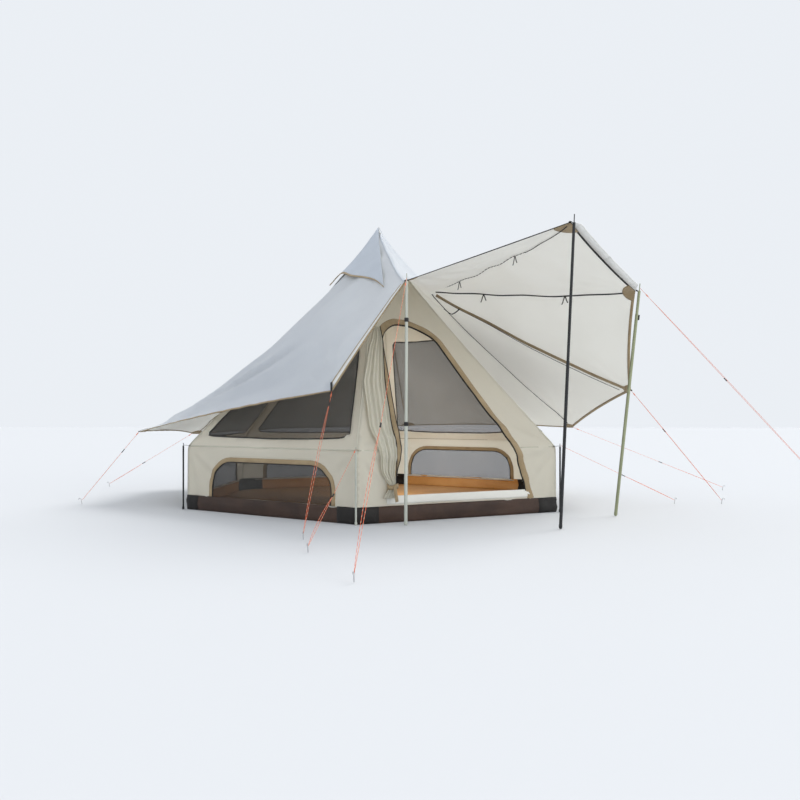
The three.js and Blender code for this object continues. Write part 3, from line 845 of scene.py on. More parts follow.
    def nearest(self, point, lift=0.0):
        """The nearest point on the finished cloth, lifted along its normal, and that normal."""
        place, normal, face, _ = self.tree.find_nearest(Vector(point))
        corners = self.faces[face]
        weights = 1 / (np.linalg.norm(self.points[corners] - np.array(place), axis=1) + 1e-4)
        normal = unit((self.normals[corners] * weights[:, None]).sum(0))
        return np.array(place) + normal * lift, normal


def radiating(points, centre, reach, size, count, seed, normals):
    """Folds that fan out from a centre: their height at each point, fading over the reach."""
    away = points - centre
    distance = np.linalg.norm(away, axis=1)
    near = distance < max(0.4, reach)
    facing = unit(normals[near].mean(0)) if near.any() else UP
    e1 = unit(np.cross(facing, [0.3, 0.9, 0.1]))
    e2 = np.cross(facing, e1)
    angle = np.arctan2(away @ e2, away @ e1)
    random = np.random.default_rng(seed)
    folds = np.zeros(len(points))
    for share in (1.0, 0.62, 0.4):
        folds += share * np.sin(angle * count * (1 + 0.37 * random.random()) + random.random() * 6.28
                                + 0.8 * np.sin(distance * 2.1 + random.random() * 6))
    folds = np.sign(folds) * np.abs(folds) ** 1.3 / 2
    return size * folds * (1 - np.exp(-distance / 0.18)) * np.exp(-(distance / reach) ** 1.6)


canopy = Canopy()


def build_canopy_sheet():
    points, normals, faces = canopy.points, canopy.normals, canopy.faces
    count = len(points)
    both = np.vstack([points + normals * CLOTH / 2, points - normals * CLOTH / 2])
    all_faces = [list(f) for f in faces] + [[i + count for i in reversed(f)] for f in faces]
    slots = [0] * len(faces) + [1] * len(faces)
    for name, ids in canopy.index.items():
        if name == "crown":
            continue
        for a, b in zip(ids[-1][:-1], ids[-1][1:]):
            all_faces.append([a, a + count, b + count, b])
            slots.append(0)
    parts = lay_over_tips(
        "canopy_sheet", both, all_faces, [CANOPY_OUTSIDE, CANOPY_INSIDE_PAINTED_LIGHT], slots,
        np.vstack([normals, -normals]), [n for n in NODES if n.startswith("canopy_")])


build_canopy_sheet()

# ---------------------------------------------------------------- canopy's bindings, seams, patches and hood


HEM_STEPS = 80


def hem_tape(name, panel, start, end, near, far, material, thick=0.003):
    """A tape along a panel's hem, from near to far inwards of its edge; negative is outside the cloth."""
    rings = []
    for across in np.linspace(start, end, HEM_STEPS):
        point, normal = canopy.sample(panel, across, 1)
        inward = canopy.sample(panel, across, 0.96)[0] - point
        inward = unit(inward - normal * (inward @ normal))
        low = near(across) if callable(near) else near
        edges = []
        for distance in (low, far):
            place = point + inward * distance
            if distance > thick:
                place, normal = canopy.nearest(place)
            edges += [place + normal * thick, place - normal * thick]
        rings.append([edges[0], edges[2], edges[3], edges[1]])
    return loft_over_tips(name, rings, material)


def seam_tape(name, panel, across, start, end, width, material, lift, count=34):
    """A flat tape along a panel's seam or a line beside it, on the underside where lift is negative."""
    samples = [canopy.sample(panel, across, t, lift) for t in np.linspace(start, end, count)]
    path, normals = [np.array(part) for part in zip(*samples)]
    return loft_over_tips(name, strap_rings(path, normals, width, 0.003), material)


def strap(name, path, width, material, body="tent", facing=UP, count=9, thick=0.003):
    """A flat strap through a few points, with its face turned one way."""
    path = smooth_path(path, count)
    facing = np.broadcast_to(np.array(facing, float), path.shape)
    points, faces = loft(strap_rings(path, facing, width, thick))
    piece = make_mesh(name, points, faces, [material], body=body)
    return piece


TAPES = {"tan": TAN, "black": BLACK_WEBBING}
# Each hem: its panel, where it starts and ends across it, its width and its colour
HEMS = [
    ("awning_front", 0, 1, 0.010, "black"), ("awning_side", 0, 1, 0.016, "black"),
    ("side_wing", 0, 1, 0.022, "tan"), ("right_rear", 0, 1, 0.026, "tan"), ("rear", 0, 1, 0.014, "tan"),
    ("left_rear", 0, 1, 0.014, "tan"), ("left", 0, 1, 0.014, "tan"), ("front_left", 0, 0.5, 0.013, "tan"),
    ("front_left", 0.5, 1, 0.014, "tan"),
]
VALANCE_DROP = 0.07


def build_hems():
    for number, (panel, start, end, width, colour) in enumerate(HEMS, 1):
        hem_tape(f"hem_{number}_{panel}", panel, start, end, -0.003, width,
                 TAPES[colour])
    hem_tape("hem_strip_front_left", "front_left", 0.52, 0.98, 0.013, 0.052, WHITE_CANVAS,
             0.0035)
    hem_tape("hem_inner_front_left", "front_left", 0.52, 0.98, 0.050, 0.062, TAN, 0.0045)
    hem_tape("valance_awning_side", "awning_side", 0.0, 1.0,
             lambda t: -VALANCE_DROP * min(1, t / 0.08, (1 - t) / 0.08) - 0.004, 0.0, WHITE_CANVAS,
             0.0022)


# Each seam tape: its panel, how far across, where it starts and ends, its width and its colour
SEAMS = [
    ("awning_side", 1, 0.02, 0.985, 0.016, "black"), ("side_wing", 1, 0.02, 0.985, 0.045, "tan"),
    ("right_rear", 0.055, 0.06, 0.97, 0.006, "black"), ("right_rear", 1, 0.02, 0.985, 0.010, "black"),
    ("rear", 1, 0.05, 0.98, 0.012, "tan"), ("left_rear", 1, 0.05, 0.98, 0.012, "tan"),
    ("left", 1, 0.05, 0.98, 0.012, "tan"), ("front_left", 1, 0.05, 0.98, 0.012, "tan"),
]


def build_seams():
    for number, (panel, across, start, end, width, colour) in enumerate(SEAMS, 1):
        seam_tape(f"seam_{number}_{panel}", panel, across, start, end, width, TAPES[colour], -0.0045)
        if across == 1:
            seam_tape(f"seam_top_{number}_{panel}", panel, across, start, end, 0.012, CANOPY_OUTSIDE, 0.003)
    points, faces = [], []
    for t in np.arange(0.05, 0.74, 0.022):
        samples = [canopy.sample("awning_front", 1, t + k, -0.005) for k in (0, 0.008, 0.016)]
        path, normals = [np.array(part) for part in zip(*samples)]
        more, loops = loft(strap_rings(path, normals, 0.007, 0.004))
        faces += [[i + sum(map(len, points)) for i in f] for f in loops]
        points.append(more)
    dashes = make_mesh("seam_dashes", np.vstack(points), faces, [BLACK_WEBBING])
    seam_tape("seam_dashes_end", "awning_front", 1, 0.745, 0.985, 0.010, BLACK_WEBBING, -0.009)
    path = [canopy.sample("right_rear", across, 0.16 - 0.03 * across, -0.01)[0]
            for across in np.linspace(0, 1, 7)]
    strap("seam_cross_strap", path, 0.012, BLACK_WEBBING, facing=canopy.sample("right_rear", 0.5, 0.14)[1])


# Each toggle's seam and its place on it
TOGGLES = [("awning_front", 0.27), ("awning_front", 0.68), ("awning_side", 0.30), ("awning_side", 0.70)]


def build_toggles():
    for number, (panel, t) in enumerate(TOGGLES, 1):
        top, _ = canopy.sample(panel, 1, t, -0.006)
        ahead = canopy.sample(panel, 1, t + 0.05)[0] - top
        ahead = unit(ahead * [1, 1, 0])
        for leg, (spread, drop) in enumerate(((-0.022, 0.075), (0.02, 0.062))):
            path = [top, top + ahead * spread * 0.5 - UP * drop * 0.35,
                    top + ahead * spread - UP * drop * 0.8, top + ahead * spread * 1.4 - UP * drop]
            strap(f"toggle_{number}_{leg + 1}", path, 0.010, BLACK_WEBBING, facing=np.cross(ahead, UP))


# Round each corner: the points that its hems and seams run to, and how far its patch reaches
PATCHES = {
    0: ((CORNERS[8], CANOPY_PEAK, AWNING_HUB, CORNERS[1]), 0.10),
    1: ((CORNERS[0], AWNING_HUB, CORNERS[2]), 0.14),
    2: ((CORNERS[1], AWNING_HUB, CORNERS[3]), 0.11),
    3: ((CORNERS[2], AWNING_HUB, CORNERS[4]), 0.075),
    4: ((CORNERS[3], AWNING_HUB, CANOPY_PEAK, CORNERS[5]), 0.075),
    5: ((CORNERS[4], CANOPY_PEAK, CORNERS[6]), 0.12),
    6: ((CORNERS[5], CANOPY_PEAK, CORNERS[7]), 0.12),
    7: ((CORNERS[6], CANOPY_PEAK, CORNERS[8]), 0.12),
    8: ((CORNERS[7], CANOPY_PEAK, CORNERS[0]), 0.12),
}


def build_patches():
    """A reinforcing patch at every corner, sewn to the underside of the cloth."""
    for number, (targets, reach) in PATCHES.items():
        corner = CORNERS[number]
        spokes = unit(np.array(targets) - corner)
        fan = []
        for a, b in zip(spokes[:-1], spokes[1:]):
            fan += [unit(a + (b - a) * t) for t in np.linspace(0, 1, 9)[:-1]]
        fan.append(spokes[-1])
        rings = np.linspace(0.004, reach, 7)
        places = [canopy.nearest(corner + spoke * r) for r in rings for spoke in fan]
        middle, normals = [np.array(part) for part in zip(*places)]
        columns = len(fan)
        quads = [(j * columns + i, j * columns + i + 1, (j + 1) * columns + i + 1, (j + 1) * columns + i)
                 for j in range(len(rings) - 1) for i in range(columns - 1)]
        points, faces = two_layers(middle - normals * 0.002, middle - normals * 0.007, quads)
        body = ["front_upper", "tall_upper", "side_upper"][number] if number < 3 else None
        patch = make_mesh(f"corner_patch_{number}", points, faces, [TAN], body=None if body else "tent")
        if body:
            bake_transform(patch)


POLE_OF_TIP = {"front_upper": "front_pole_upper", "tall_upper": "tall_pole_upper",
               "side_upper": "side_pole_upper"}


def build_tabs():
    """The black webbing between each corner and its pole head, or its line."""
    for body, (corner, outward, _) in TIPS.items():
        pole = node_points(POLE_OF_TIP[body])
        head = pole[np.linalg.norm(pole - corner, axis=1).argmin()]
        inner, normal = canopy.nearest(corner - outward * 0.05, 0.0065)
        strap(f"tab_{tip_word(body)}", [inner, corner + normal * 0.007, head], 0.024, BLACK_WEBBING,
              body=body, facing=normal, count=7)
    for name in ("side_wing_guy", "right_rear_guy", "left_rear_guy", "left_guy", "front_left_guy"):
        start, _ = line_ends(name)
        corner = CORNERS[np.linalg.norm(CORNERS - start, axis=1).argmin()]
        apart = np.linalg.norm(corner - start) > 0.01
        towards = unit(corner - start if apart else CANOPY_PEAK - corner)
        inner, normal = canopy.nearest(corner + unit(CANOPY_PEAK - corner) * 0.09, 0.007)
        strap(f"tab_{name}", [inner, corner + normal * 0.007, (corner + start) / 2 - towards * 0.004, start],
              0.022, BLACK_WEBBING, facing=normal, count=11)


HOOD_NORMAL = unit((-0.62, -0.36, 0.7))
HOOD_ROWS, HOOD_COLUMNS = 22, 44
HOOD_CLEARANCE = 0.012
HOOD_LIFT = 0.03
# The hem's places on the front-left panel: across it, and along it from the peak
HOOD_STATIONS = ((0, 0.2), (0.35, 0.18), (0.72, 0.33), (0.88, 0.62), (0.915, 0.83))


def build_hood():
    """The vent hood: a cap of cloth from the peak to a bound hem, pulled in folds to its right end."""
    stations = [canopy.sample("left", 0.8, 0.2)[0]]
    stations += [canopy.sample("front_left", *at)[0] for at in HOOD_STATIONS]
    hem = smooth_path(stations, HOOD_COLUMNS + 1)
    tip = hem[-1]
    e1 = unit(CANOPY_PEAK - tip)
    e2 = unit(np.cross(HOOD_NORMAL, e1))
    rows = []
    for j in range(HOOD_ROWS + 1):
        run = 0.02 + 0.98 * j / HOOD_ROWS
        row = []
        for i in range(HOOD_COLUMNS + 1):
            across = i / HOOD_COLUMNS
            chord = CANOPY_PEAK + (hem[i] - CANOPY_PEAK) * run
            chord = chord - UP * spire(chord) * (1 - run ** 3)
            away = chord - tip
            angle, distance = math.atan2(away @ e2, away @ e1), np.linalg.norm(away)
            fold = 0.02 * float(pleat(5.2 * angle + 0.6)) * math.exp(-(distance / 0.8) ** 2)
            fold *= (1 - math.exp(-distance / 0.12)) * min(1, run / 0.35)
            lift = HOOD_CLEARANCE * min(1, run / 0.15) + HOOD_LIFT * math.cos(math.pi / 2 * across) * run
            lift += fold
            ground, normal = canopy.nearest(chord)
            above = (chord - ground) @ normal
            row.append(ground + normal * max(above + lift, 0.006))
        rows.append(row)
    rows = np.array(rows)
    for _ in range(3):
        rows[1:-1, 1:-1] = (rows[1:-1, 1:-1] * 2 + rows[:-2, 1:-1] + rows[2:, 1:-1] + rows[1:-1, :-2]
                            + rows[1:-1, 2:]) / 6
    points = rows.reshape(-1, 3)
    columns = HOOD_COLUMNS + 1
    quads = [(j * columns + i, (j + 1) * columns + i, (j + 1) * columns + i + 1, j * columns + i + 1)
             for j in range(HOOD_ROWS) for i in range(HOOD_COLUMNS)]
    normals = vertex_normals(points, quads)
    if normals.mean(0) @ HOOD_NORMAL < 0:
        quads, normals = [q[::-1] for q in quads], -normals
    both, faces = two_layers(points + normals * CLOTH / 2, points - normals * CLOTH / 2, quads)
    slots = [0] * len(quads) + [1] * len(quads) + [0] * (len(faces) - 2 * len(quads))
    hood = make_mesh("hood_sheet", both, faces, [HOOD_OUTSIDE_PAINTED_SHADE, CANOPY_INSIDE_PAINTED_LIGHT], slots)
    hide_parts("vent_hood")
    edge, inward = rows[-1], rows[-2] - rows[-1]
    edge_normals = normals.reshape(HOOD_ROWS + 1, columns, 3)[-1]
    inward = unit(inward - edge_normals * (inward * edge_normals).sum(1, keepdims=True))
    rings = np.stack([edge - inward * 0.004, edge + edge_normals * 0.004,
                      edge + inward * 0.026 + edge_normals * 0.004,
                      edge + inward * 0.026 - edge_normals * 0.004, edge - edge_normals * 0.004], axis=1)
    points, faces = loft(rings)
    make_mesh("hood_binding", points, faces, [TAN])
    vent = np.array([[canopy.nearest(p, 0.004)[0] for p in row[:HOOD_COLUMNS // 2:2]]
                     for row in rows[HOOD_ROWS // 2::2]])
    height, width = vent.shape[:2]
    quads = [(j * width + i, (j + 1) * width + i, (j + 1) * width + i + 1, j * width + i + 1)
             for j in range(height - 1) for i in range(width - 1)]
    make_mesh("hood_vent", vent.reshape(-1, 3), quads, [VENT_MESH])


def pleat(turn):
    """A wave with rounded hollows and sharp crests, as pulled canvas has."""
    return 0.6 - np.sqrt(np.sin(turn) ** 2 + 0.015)


def two_layers(points_out, points_in, faces):
    """Outer and inner skins of a cloth, joined round every free edge."""
    count = len(points_out)
    both = np.vstack([points_out, points_in])
    all_faces = [list(f) for f in faces] + [[i + count for i in reversed(f)] for f in faces]
    edges = {(f[k - 1], f[k]): True for f in faces for k in range(len(f))}
    for a, b in edges:
        if (b, a) not in edges:
            all_faces.append([b, a, a + count, b + count])
    return both, all_faces


for build in (build_hems, build_seams, build_toggles, build_patches, build_tabs, build_hood):
    build()

# ---------------------------------------------------------------- tent cloth

FACE_NAMES = ["door", "right", "back_right", "back_left", "left", "front_left"]
RIDGE_SAG = 0.02
ROOF_BOW = 0.045
WALL_BOW = 0.012
EAVE_ROUND = 0.03


def radius_at(height):
    """How far a ridge stands from the axis at a height, as a share of the corners' distance."""
    rise = np.clip((height - WALL_TOP) / (TENT_PEAK - WALL_TOP), 0, 1)
    return (1 - rise) - RIDGE_SAG * np.sin(math.pi * rise)


def half_width(height):
    """Half a face's width at a height: upright below the eave, then closing on the peak."""
    return CORNER_RADIUS / 2 * radius_at(height)


PLEAT_DEPTH = 0.022
PLEAT_REACH = 0.5


def tent_point(face, s, height, lift=0.0):
    """Points on a face of the tent: s runs along it, and lift stands them off outwards."""
    s, height = np.asarray(s, float), np.asarray(height, float)
    turn = math.radians(-90 + 360 / SIDES * face) + math.pi / SIDES
    outward = np.array([math.cos(turn), math.sin(turn), 0.0])
    sideways = np.array([-math.sin(turn), math.cos(turn), 0.0])
    above = height - WALL_TOP
    lean = APOTHEM / (TENT_PEAK - WALL_TOP)
    inward = lean * 0.5 * (above + np.sqrt(above ** 2 + EAVE_ROUND ** 2))
    inward = inward + APOTHEM * RIDGE_SAG * np.sin(math.pi * np.clip(above / (TENT_PEAK - WALL_TOP), 0, 1))
    inward = np.where(above < -0.3, 0, inward)
    u = np.clip(s / np.maximum(half_width(height), 1e-6), -1, 1)
    free = 1 - u ** 2
    rise = np.clip(above / (TENT_PEAK - WALL_TOP), 0, 1)
    bow = np.where(above > 0, ROOF_BOW * np.sin(np.pi * rise) * (0.5 + 0.5 * (1 - rise)),
                   WALL_BOW * np.sin(np.pi * np.clip(height / WALL_TOP, 0, 1)))
    folds = np.zeros_like(u)
    for side, seed in ((-1, 1.3 + face), (1, 4.1 + face * 1.7)):
        reach = 1.0 if face == 0 and side > 0 else PLEAT_REACH
        away = np.hypot(s - side * CORNER_RADIUS / 2, above)
        angle = np.arctan2(above, -(s - side * CORNER_RADIUS / 2) * side)
        folds = folds + (PLEAT_DEPTH * (pleat(6 * angle + seed) + 0.5 * pleat(11 * angle + 2 * seed))
                         * np.exp(-(away / reach) ** 1.4) * (1 - np.exp(-away / 0.09)))
    away = np.hypot(s, TENT_PEAK + 0.1 - height)
    angle = np.arctan2(s, TENT_PEAK + 0.1 - height)
    folds = folds + 0.014 * pleat(19 * angle + face) * np.exp(-(away / 2.1) ** 2) * (0.3 + 0.7 * np.abs(u))
    folds = folds + 0.004 * np.sin(s * 7.3 + height * 3.1 + face) * np.sin(height * 5.7 - s * 2.2)
    edge = np.clip(free * 6, 0, 1)
    depth = -bow * free + folds * edge
    slope = math.atan2(APOTHEM, TENT_PEAK - WALL_TOP)
    tilt = slope * np.clip(above / EAVE_ROUND * 0.5 + 0.5, 0, 1)
    stand = depth + lift
    out = (APOTHEM - inward + stand * np.cos(tilt))[..., None] * outward
    return out + s[..., None] * sideways + (height + stand * np.sin(tilt))[..., None] * UP


def inside(loop, points):
    """Which points lie inside a closed outline."""
    loop, points = np.asarray(loop), np.asarray(points)
    x, y = points[:, 0], points[:, 1]
    found = np.zeros(len(points), bool)
    for (ax, ay), (bx, by) in zip(loop, np.roll(loop, -1, axis=0)):
        crosses = (ay > y) != (by > y)
        found ^= crosses & (x < (bx - ax) * (y - ay) / (by - ay if by != ay else 1e-12) + ax)
    return found


def fill(outline, holes, spacing):
    """Triangles that fill an outline and leave its holes open: (points, triangles)."""
    loops = [spaced_loop(loop, spacing) for loop in [outline, *holes]]
    edge_points = np.vstack(loops)
    low, high = edge_points.min(0), edge_points.max(0)
    xs = np.arange(low[0], high[0], spacing)
    ys = np.arange(low[1], high[1], spacing * 0.866)
    lattice = np.array([(x + (k % 2) * spacing / 2, y) for k, y in enumerate(ys) for x in xs])
    keep = inside(loops[0], lattice)
    for loop in loops[1:]:
        keep &= ~inside(loop, lattice)
    lattice = lattice[keep]
    clear = np.array([np.min(np.sum((edge_points - p) ** 2, axis=1)) > (0.5 * spacing) ** 2 for p in lattice])
    if len(lattice):
        lattice = lattice[clear]
    edges, start = [], 0
    for loop in loops:
        edges += [(start + i, start + (i + 1) % len(loop)) for i in range(len(loop))]
        start += len(loop)
    points, _, triangles, _, _, _ = geometry.delaunay_2d_cdt(
        [Vector(p) for p in np.vstack([edge_points, lattice])], edges, [], 0, 1e-7)
    points = np.array(points)
    middles = np.array([points[t].mean(0) for t in map(list, triangles)])
    keep = inside(loops[0], middles)
    for loop in loops[1:]:
        keep &= ~inside(loop, middles)
    return points, [list(t) for t, k in zip(triangles, keep) if k]


def spaced_loop(loop, spacing):
    loop = np.asarray(loop, float)
    found = []
    for a, b in zip(loop, np.roll(loop, -1, axis=0)):
        steps = max(1, int(math.ceil(np.linalg.norm(b - a) / spacing)))
        found += [a + (b - a) * k / steps for k in range(steps)]
    return np.array(found)


def arc(centre, radius, start, end, steps=8):
    turn = np.radians(np.linspace(start, end, steps + 1))
    return [(centre[0] + radius * math.cos(t), centre[1] + radius * math.sin(t)) for t in turn]


DOOR_HALF_WIDTH = 0.725
DOOR_LEAN = {1: 0.31, -1: 0.226}
DOOR_ARCH_MIDDLE = -0.1
DOOR_ARCH_START = 1.6
DOOR_TOP = 1.82
SILL = 0.215


def door_jamb(side, height):
    """Where a jamb stands: each leans in by its own slope, and the arch closes on its middle."""
    straight = side * (DOOR_HALF_WIDTH - (height - TUB_HEIGHT) * DOOR_LEAN[side])
    above = max(0.0, height - DOOR_ARCH_START) / (DOOR_TOP - DOOR_ARCH_START)
    return DOOR_ARCH_MIDDLE + (straight - DOOR_ARCH_MIDDLE) * math.sqrt(max(0.0, 1 - above ** 2))


def door_outline(bottom, left_bottom=None):
    """Up the right jamb, over the arch and down the left one."""
    turn = np.sin(np.radians(np.linspace(0, 90, 16)))[1:]
    arch = [DOOR_ARCH_START + (DOOR_TOP - DOOR_ARCH_START) * t for t in turn]
    sides = []
    for side, low in ((1, bottom), (-1, left_bottom or bottom)):
        heights = list(np.linspace(low, DOOR_ARCH_START, 26)) + arch
        sides.append([(door_jamb(side, h), h) for h in heights])
    return sides[0] + sides[1][-2::-1]


WINDOW_HALF = 0.725
WINDOW_TOP = 0.485
WINDOW_ROUND = 0.25
WINDOW_SHIFT = {5: 0.035}


def low_window(face):
    """The arched mesh window of a wall, standing on the mud skirt."""
    shift = WINDOW_SHIFT.get(face, 0.0)
    bottom = TUB_HEIGHT + 0.012
    right = arc((shift + WINDOW_HALF - WINDOW_ROUND, WINDOW_TOP - WINDOW_ROUND), WINDOW_ROUND, 0, 90)
    left = arc((shift - WINDOW_HALF + WINDOW_ROUND, WINDOW_TOP - WINDOW_ROUND), WINDOW_ROUND, 90, 180)
    return [(shift + WINDOW_HALF, bottom)] + right + left + [(shift - WINDOW_HALF, bottom)]


def roof_window():
    """The big mesh window of a roof panel: a trapezoid with small round corners and a slack lower edge."""
    low, high, margin, corner = 0.705, 1.75, 0.11, 0.03
    low_half, high_half = float(half_width(low)) - margin, float(half_width(high)) - margin
    bottom = [(s, low - 0.02 * (1 - (s / low_half) ** 2)) for s in np.linspace(-low_half + corner,
                                                                              low_half - corner, 15)]
    return bottom + [(low_half, low + corner), (high_half + 0.01, high - corner), (high_half - corner, high),
                     (-high_half + corner, high), (-high_half - 0.01, high - corner),
                     (-low_half, low + corner)]


def face_outline():
    bottom = TUB_HEIGHT - 0.01
    heights = list(np.linspace(bottom, WALL_TOP, 10)) + list(np.linspace(WALL_TOP, ROOF_CUT, 40))[1:]
    right = [(float(half_width(max(h, WALL_TOP))), h) for h in heights]
    return right + [(-s, h) for s, h in reversed(right)]


def build_face(face):
    name = FACE_NAMES[face]
    holes = [door_outline(SILL)] if name == "door" else [low_window(face), roof_window()]
    flat, triangles = fill(face_outline(), holes, 0.034)
    outer = tent_point(face, flat[:, 0], flat[:, 1], CLOTH / 2)
    inner = tent_point(face, flat[:, 0], flat[:, 1], -CLOTH / 2)
    points, faces = two_layers(outer, inner, triangles)
    sides = [0] * len(triangles) + [1] * len(triangles) + [0] * (len(faces) - 2 * len(triangles))
    canvas = make_mesh(f"canvas_{name}", points, faces, [CANVAS, CANVAS_INSIDE_PAINTED_LIGHT], sides)
    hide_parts(f"wall_{name}", f"roof_{name}")
    if name != "door":
        for kind, hole in (("low", holes[0]), ("roof", holes[1])):
            flat, triangles = fill(hole, [], 0.07)
            points, faces = two_layers(tent_point(face, flat[:, 0], flat[:, 1], -0.001),
                                       tent_point(face, flat[:, 0], flat[:, 1], -0.003), triangles)
            sides = [0] * len(triangles) + [1] * len(triangles) + [0] * (len(faces) - 2 * len(triangles))
            screen = make_mesh(f"screen_{kind}_{name}", points, faces, [SCREEN, SCREEN_INSIDE_PAINTED_LIGHT], sides)


def band(name, face, path, width, material, lift=0.003, side=0.0, closed=False, both=True):
    """A bound edge along a path on a face: a flat tape on the outside that turns over to the inside."""
    path = np.asarray(path, float)
    if closed:
        tangents = unit(np.roll(path, -1, axis=0) - np.roll(path, 1, axis=0))
    else:
        tangents = unit(np.gradient(path, axis=0))
    across = np.stack([tangents[:, 1], -tangents[:, 0]], axis=1)
    section = [(-0.5, 0.35), (-0.32, 1), (0.32, 1), (0.5, 0.35)]
    section += [(0.5, -0.35), (0.32, -1), (-0.32, -1), (-0.5, -0.35)] if both else [(0.5, 0.0), (-0.5, 0.0)]
    rings = []
    for shift, height in section:
        moved = path + across * (shift + side) * width
        rings.append(tent_point(face, moved[:, 0], moved[:, 1], lift * height))
    points, faces = loft(np.stack(rings, axis=1), closed)
    piece = make_mesh(name, points, faces, [material])
    return piece


DOOR_BINDING_FOOT = 0.135
DOOR_ZIP_SHIFT = -4.4


def build_tent():
    for face in range(SIDES):
        build_face(face)
        name = FACE_NAMES[face]
        if name == "door":
            band("door_binding", face, spaced_path(door_outline(DOOR_BINDING_FOOT, SILL), 0.05), 0.064, TAN,
                 lift=0.006)
            band("door_zip", face, spaced_path(door_outline(SILL), 0.05), 0.007, BLACK_WEBBING,
                 lift=0.008, side=DOOR_ZIP_SHIFT)
            band("door_sill", face, spaced_path([(-DOOR_HALF_WIDTH, SILL - 0.03),
                                                 (DOOR_HALF_WIDTH, SILL - 0.03)],
                                                0.06), 0.07, SILL_CANVAS, lift=0.004)
        else:
            band(f"window_binding_{name}", face, spaced_path(low_window(face), 0.04), 0.042, TAN,
                 lift=0.005)
            band(f"window_zip_{name}", face, spaced_path(low_window(face), 0.04), 0.009, BLACK_WEBBING,
                 lift=0.0065, side=-2.6)
            band(f"roof_window_edge_{name}", face, spaced_loop(roof_window(), 0.05), 0.012, BLACK_WEBBING,
                 lift=0.0035, closed=True)


def build_tent_seams():
    """The ridge seams, the eave seams and the loops that hold the eave corners to their poles."""
    for face in range(SIDES):
        name = FACE_NAMES[face]
        heights = np.linspace(WALL_TOP, ROOF_CUT, 46)
        band(f"ridge_seam_{name}", face, [(float(half_width(h)) - 0.009, h) for h in heights], 0.014, CANVAS,
             lift=0.005)
        edge = CORNER_RADIUS / 2 - 0.01
        spans = [(-edge, edge)]
        if name == "door":
            spans = [(-edge, door_jamb(-1, WALL_TOP) - 0.04), (door_jamb(1, WALL_TOP) + 0.04, edge)]
        for number, (start, end) in enumerate(spans, 1):
            band(f"eave_seam_{name}_{number}", face, spaced_path([(start, WALL_TOP), (end, WALL_TOP)], 0.04),
                 0.010,
                 SEAM, lift=0.003)
        pole = node_points(f"eave_pole_{face + 1}")
        top = pole[pole[:, 2].argmax()] - UP * 0.022
        inner = top * [0.93, 0.93, 1] - UP * 0.01
        ahead = unit(np.cross(top * [1, 1, 0], UP))
        for side in (-1, 1):
            strap(f"eave_loop_{face + 1}_{side + 2}", [inner + ahead * side * 0.03, (inner + top) / 2
                                                       + ahead * side * 0.013, top + ahead * side * 0.003],
                  0.014, BLACK_WEBBING if face else TAN, facing=UP, count=6)


FLAP_TOP, FLAP_FOOT, FLAP_TIE = 1.74, 0.2, 0.3
FLAP_FOLDS = 5
FLAP_DEPTH = 0.016
# Each height of the flap: its middle beside the left jamb, and its width
FLAP_SHAPE = ((0.2, -0.015, 0.10), (0.3, 0.0, 0.055), (0.42, -0.07, 0.12), (0.8, -0.15, 0.20),
              (1.2, -0.14, 0.20),
              (1.55, -0.06, 0.13), (1.74, 0.01, 0.05))


def build_flap():
    """The door flap: one sheet drawn back over the left jamb in long folds, and tied near its foot."""
    rows, columns = 70, 110
    turn = math.radians(-90) + math.pi / SIDES
    outward = np.array([math.cos(turn), math.sin(turn), 0.0])
    sideways = np.array([-math.sin(turn), math.cos(turn), 0.0])
    levels, shifts, widths = np.array(FLAP_SHAPE).T
    points = []
    for height in np.linspace(FLAP_FOOT, FLAP_TOP, rows + 1):
        width = np.interp(height, levels, widths)
        shift = np.interp(height, levels, shifts)
        middle = tent_point(0, door_jamb(-1, min(max(height, SILL), DOOR_ARCH_START)) + shift, height)
        depth = FLAP_DEPTH * (0.45 + 0.55 * width / 0.24)
        for across in np.linspace(0, 1, columns + 1):
            swing = 2 * math.pi * FLAP_FOLDS * across + 0.9 * math.sin(height * 2.3) + 0.8 * math.sin(across
                                                                                                      * 7)
            deep = depth * (0.75 + 0.35 * math.sin(across * 13 + height * 2))
            points.append(middle + sideways * (across - 0.5) * width
                          + outward * (0.03 + deep * math.sin(swing)))
    points = np.array(points)
    wide = columns + 1
    quads = [(j * wide + i, j * wide + i + 1, (j + 1) * wide + i + 1, (j + 1) * wide + i)
             for j in range(rows) for i in range(columns)]
    normals = vertex_normals(points, quads)
    both, faces = two_layers(points + normals * CLOTH / 2, points - normals * CLOTH / 2, quads)
    flap = make_mesh("door_flap", both, faces, [CANVAS])
    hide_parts("door_flap_roll")
    rows_of = points.reshape(rows + 1, wide, 3)
    zip_path = smooth_path(rows_of[::7, -1] + sideways * 0.006, 60)
    skin, faces = loft(tube_rings(zip_path, 0.0045, 8))
    make_mesh("flap_zip", skin, faces, [BLACK_WEBBING])

    middle = tent_point(0, door_jamb(-1, FLAP_TIE), FLAP_TIE) + outward * 0.03
    around = np.linspace(0, 2 * math.pi, 33)[:-1]
    loop = middle + (np.cos(around)[:, None] * sideways * 0.044 + np.sin(around)[:, None] * outward * 0.036)
    loop = loop + UP * (0.008 * np.sin(around * 2))[:, None]
    out = unit(loop - middle)
    rings = np.stack([loop + out * lift * 0.004 + UP * rise * 0.018
                      for lift, rise in ((1, -1), (1.6, 0), (1, 1), (-1, 1), (-1, -1))], axis=1)
    skin, faces = loft(rings, closed=True)
    make_mesh("flap_tie", skin, faces, [TAN])
    front = middle + outward * 0.042
    strap("flap_tie_tail", [front + UP * 0.012, front + outward * 0.012 - UP * 0.05,
                            front + sideways * 0.018 - UP * 0.125], 0.03, TAN, facing=outward, count=10)


